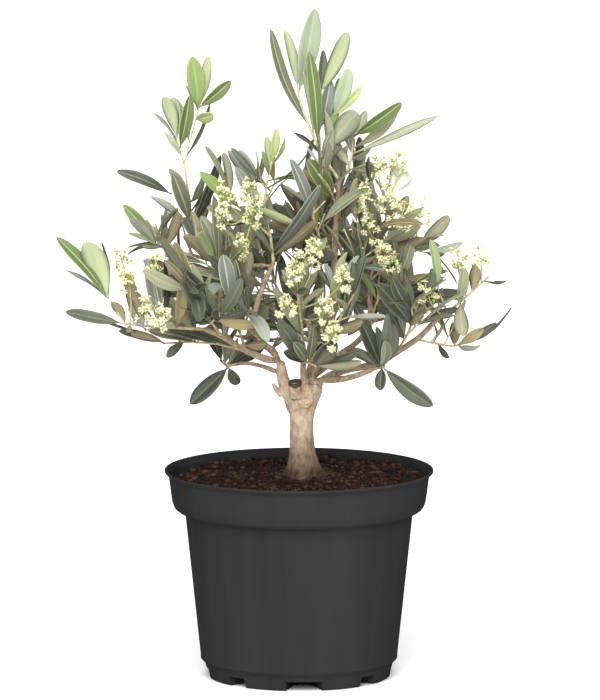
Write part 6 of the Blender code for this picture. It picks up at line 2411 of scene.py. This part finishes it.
@dataclass
class Soil:
    """Peaty potting soil: an uneven bed, hundreds of crumbs on it and a dusty mound at the trunk."""

    crumbs: int = 5200
    reach: float = 89.0
    sides: int = 288
    LEVEL = 141.0
    TRUNK_AT = 3.6                # the trunk's middle at the soil, across
    MOUND = 15.0                  # the dusty mound is highest to here from it
    BARE = 16.5                   # and without crumbs to here
    DUSTY = 21.0
    PEAT, RED, FIBRE, DUST = range(4)   # its finishes, in order

    def from_trunk(self, x: float, y: float) -> float:
        """How far a place is from the trunk's middle."""
        return math.hypot(x - self.TRUNK_AT, y)

    def lift(self, x: np.ndarray, y: np.ndarray) -> np.ndarray:
        """How far the bed is raised: broad heaps, lumps, and the mound at the trunk.

        Args:
            x: how far across each place is.
            y: how far back it is.

        Returns:
            The rise at each place.
        """
        made = np.zeros(len(x))
        for i, (a, b) in enumerate(zip(x, y)):
            broad = noise.noise(Vector((a * 0.022, b * 0.022, 3.1))) * 2.6
            lumps = noise.noise(Vector((a * 0.11, b * 0.11, 0.4))) * 1.9
            fine = noise.noise(Vector((a * 0.42, b * 0.42, 5.2))) * 0.9
            fine += noise.noise(Vector((a, b, 1.7))) * 0.4
            mound = 2.6 * math.exp(-max(0.0, self.from_trunk(a, b) - self.MOUND) / 5.5)
            heap = 2.4 * math.exp(-((a - 45) ** 2 + (b - 50) ** 2) / 700)
            edge = -2.2 * max(0.0, math.hypot(a, b) - 80.0) / 9.0
            made[i] = broad + lumps + fine + mound + heap + edge
        return made

    def section(self) -> list[tuple[float, float]]:
        """The soil's section, clear of the pot's inside.

        Returns:
            (radius, height) places that start and end on the axis.
        """
        under = [(0.0, 8.6), (64.4, 8.6), (67.4, 15.3), (78.5, 119.5), (84.6, 121.7), (87.6, 125.9)]
        top = [(radius, self.LEVEL) for radius in np.linspace(self.reach, 0.8, 88)]
        return under + top + [(0.0, self.LEVEL)]

    def crumb_shape(self) -> Solid:
        """A small ball of twenty faces that each crumb is shaped from.

        Returns:
            Its points and faces.
        """
        gold = (1 + math.sqrt(5)) / 2
        corners = []
        for a in (-1, 1):
            for b in (-gold, gold):
                corners += [(0, a, b), (a, b, 0), (b, 0, a)]
        points = np.array(corners, float)
        points /= np.linalg.norm(points[0])
        faces = []
        for i in range(12):
            for j in range(i + 1, 12):
                for k in range(j + 1, 12):
                    gaps = [np.linalg.norm(points[p] - points[q]) for p, q in ((i, j), (j, k), (i, k))]
                    if max(gaps) < 1.06:
                        out = points[[i, j, k]].mean(axis=0)
                        normal = np.cross(points[j] - points[i], points[k] - points[i])
                        faces.append((i, j, k) if normal @ out > 0 else (i, k, j))
        return points, faces

    def build(self) -> bpy.types.Object:
        """The bed and its crumbs as one object.

        Returns:
            The object.
        """
        pile = Pile()
        points, faces = turned(self.section(), self.sides, self.lift)
        marks = []
        for face in faces:
            centre = points[list(face)].mean(axis=0)
            uneven = 3 * noise.noise(Vector(centre) * 0.2)
            dusty = self.from_trunk(centre[0], centre[1]) + uneven < self.DUSTY
            marks.append(self.DUST if dusty and centre[2] > self.LEVEL - 6 else self.PEAT)
        pile.add((points, faces), marks)
        rng = random.Random(29)
        ball, ball_faces = self.crumb_shape()
        for _ in range(self.crumbs):
            radius = (self.reach - 2.0) * math.sqrt(rng.random())
            turn = rng.uniform(0, math.tau)
            x, y = radius * math.cos(turn), radius * math.sin(turn)
            near = self.from_trunk(x, y)
            if near < self.BARE:
                continue
            size = 0.5 + 1.9 * rng.random() ** 2.4
            ground = self.LEVEL + float(self.lift(np.array([x]), np.array([y]))[0])
            uneven = np.array([rng.uniform(0.72, 1.28) for _ in ball])[:, None]
            squash = np.array([rng.uniform(0.75, 1.25), rng.uniform(0.75, 1.25), rng.uniform(0.6, 0.95)])
            points = ball * uneven * squash * size + (x, y, ground + size * 0.35)
            dusty = near < self.DUSTY + 1 and rng.random() < 0.7
            mixed = (self.PEAT, self.PEAT, self.RED, self.RED, self.FIBRE)
            pile.add((points, ball_faces), self.DUST if dusty else rng.choice(mixed))
        made = pile.make("soil_bed", self.finishes(), smooth=False)
        log.info("soil has %d triangles", pile.triangles)
        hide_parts("soil")
        return made

    @staticmethod
    def finishes() -> list[bpy.types.Material]:
        """Dark peat, red-brown bark fibre, pale brown fibre and the trunk's dusty mound.

        Returns:
            The materials, in order.
        """
        made = []
        for name, stops in (("peat", ((12, 7, 5), (24, 15, 12), (42, 27, 22))),
                            ("peat_red", ((20, 10, 8), (37, 20, 15), (58, 35, 26))),
                            ("peat_fibre", ((36, 24, 18), (60, 41, 30), (88, 63, 46))),
                            ("dusty_peat", ((36, 26, 20), (54, 42, 32), (76, 61, 47)))):
            nodes = Nodes(name).set(Roughness=0.95, Specular_IOR_Level=0.12)
            grain = nodes.noise(900.0, 5.0, 0.7)
            nodes.colour(nodes.ramp(grain, tuple(zip((0.3, 0.5, 0.72), stops))))
            made.append(nodes.bump(grain, 0.0008, 0.8).material)
        return made


# ---------------------------------------------------------------- studio
@dataclass(frozen=True)
class Studio:
    """A plain white floor, soft light from the front, and the camera that looks slightly down."""

    distance: float = 6.0
    frame_height: float = 0.4926
    aim: Vector = Vector((0.0007, 0.0, 0.232))
    floor: float = 60.0
    sky: float = 1.12
    sides: tuple[float, float] = (0.4, 0.9)     # where the surround darkens, from the front to the sides
    dark: float = 0.06            # and how bright it still is there
    key: float = 4.2
    key_wide: float = 50.0
    key_aim: Spot = (0.04, 0.84, -0.64)
    pale: float = 0.97            # the floor's white
    drop: float = 0.0002          # how far it lies under the pot, in metres

    def camera(self) -> None:
        """The camera, on the object's own front."""
        data = bpy.data.cameras.new("camera")
        data.lens = data.sensor_width * self.distance / self.frame_height
        data.clip_end = 200.0
        made = placed("camera", data)
        back = Vector((0, -math.cos(VIEW_TILT), math.sin(VIEW_TILT)))
        made.location = self.aim + back * self.distance
        made.rotation_euler = (-back).to_track_quat("-Z", "Y").to_euler()
        bpy.context.scene.camera = made

    def lights(self) -> None:
        """A white surround, darker at both sides, and a broad key, high in front and a little left."""
        world = bpy.data.worlds.new("surround")
        world.use_nodes = True
        world.node_tree.nodes["Background"].inputs["Color"].default_value = (1.0, 1.0, 1.0, 1.0)
        tree = world.node_tree
        place = tree.nodes.new("ShaderNodeTexCoord").outputs["Generated"]
        parts = tree.nodes.new("ShaderNodeSeparateXYZ")
        across = tree.nodes.new("ShaderNodeMath")
        across.operation = "ABSOLUTE"
        fall = tree.nodes.new("ShaderNodeMapRange")
        for socket, value in zip(("From Min", "From Max", "To Min", "To Max"),
                                 (*self.sides, self.sky, self.sky * self.dark)):
            fall.inputs[socket].default_value = value
        tree.links.new(place, parts.inputs["Vector"])
        tree.links.new(parts.outputs["X"], across.inputs[0])
        tree.links.new(across.outputs["Value"], fall.inputs["Value"])
        tree.links.new(fall.outputs["Result"], tree.nodes["Background"].inputs["Strength"])
        bpy.context.scene.world = world
        lamp = bpy.data.lights.new("key", "SUN")
        lamp.energy = self.key
        lamp.angle = math.radians(self.key_wide)
        made = placed("key", lamp)
        made.rotation_euler = Vector(self.key_aim).to_track_quat("-Z", "Y").to_euler()

    def ground(self) -> None:
        """The floor under the pot."""
        mesh = bpy.data.meshes.new("floor")
        half = self.floor / 2
        corners = [(-half, -half, 0), (half, -half, 0), (half, half, 0), (-half, half, 0)]
        mesh.from_pydata(corners, [], [(0, 1, 2, 3)])
        white = (self.pale, self.pale, self.pale, 1.0)
        mesh.materials.append(Nodes("pale_floor").set(Base_Color=white, Roughness=0.9,
                                                      Specular_IOR_Level=0.1).material)
        made = placed("floor", mesh)
        made.location.z = -self.drop

    def build(self) -> None:
        """The whole set."""
        self.camera()
        self.lights()
        self.ground()
        bpy.context.scene.view_settings.view_transform = "Standard"


def main() -> None:
    """Builds the pot, the soil and the plant in order, and notes the sizes."""
    Studio().build()
    log.info("studio is set")
    log.info("built %s", Pot().build().name)
    log.info("built %s", Soil().build().name)
    tree = Tree()
    growth = tree.grow()
    log.info("grew %d shoots, %d leaves and %d clusters", len(growth.twigs), len(growth.leaves),
             len(growth.blooms))
    for name, tip in tree.left_out:
        log.info("no room for a piece of %s at %s", name, tip)
    log.info("built %s", Trunk(growth).build().name)
    plant = [Shoots(growth).build()] + Foliage(growth).build() + [Blossom(growth).build()]
    for piece in plant:
        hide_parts(*[mass.name for mass in MASSES])
        log.info("built %s", piece.name)


if __name__ == "__main__":
    main()
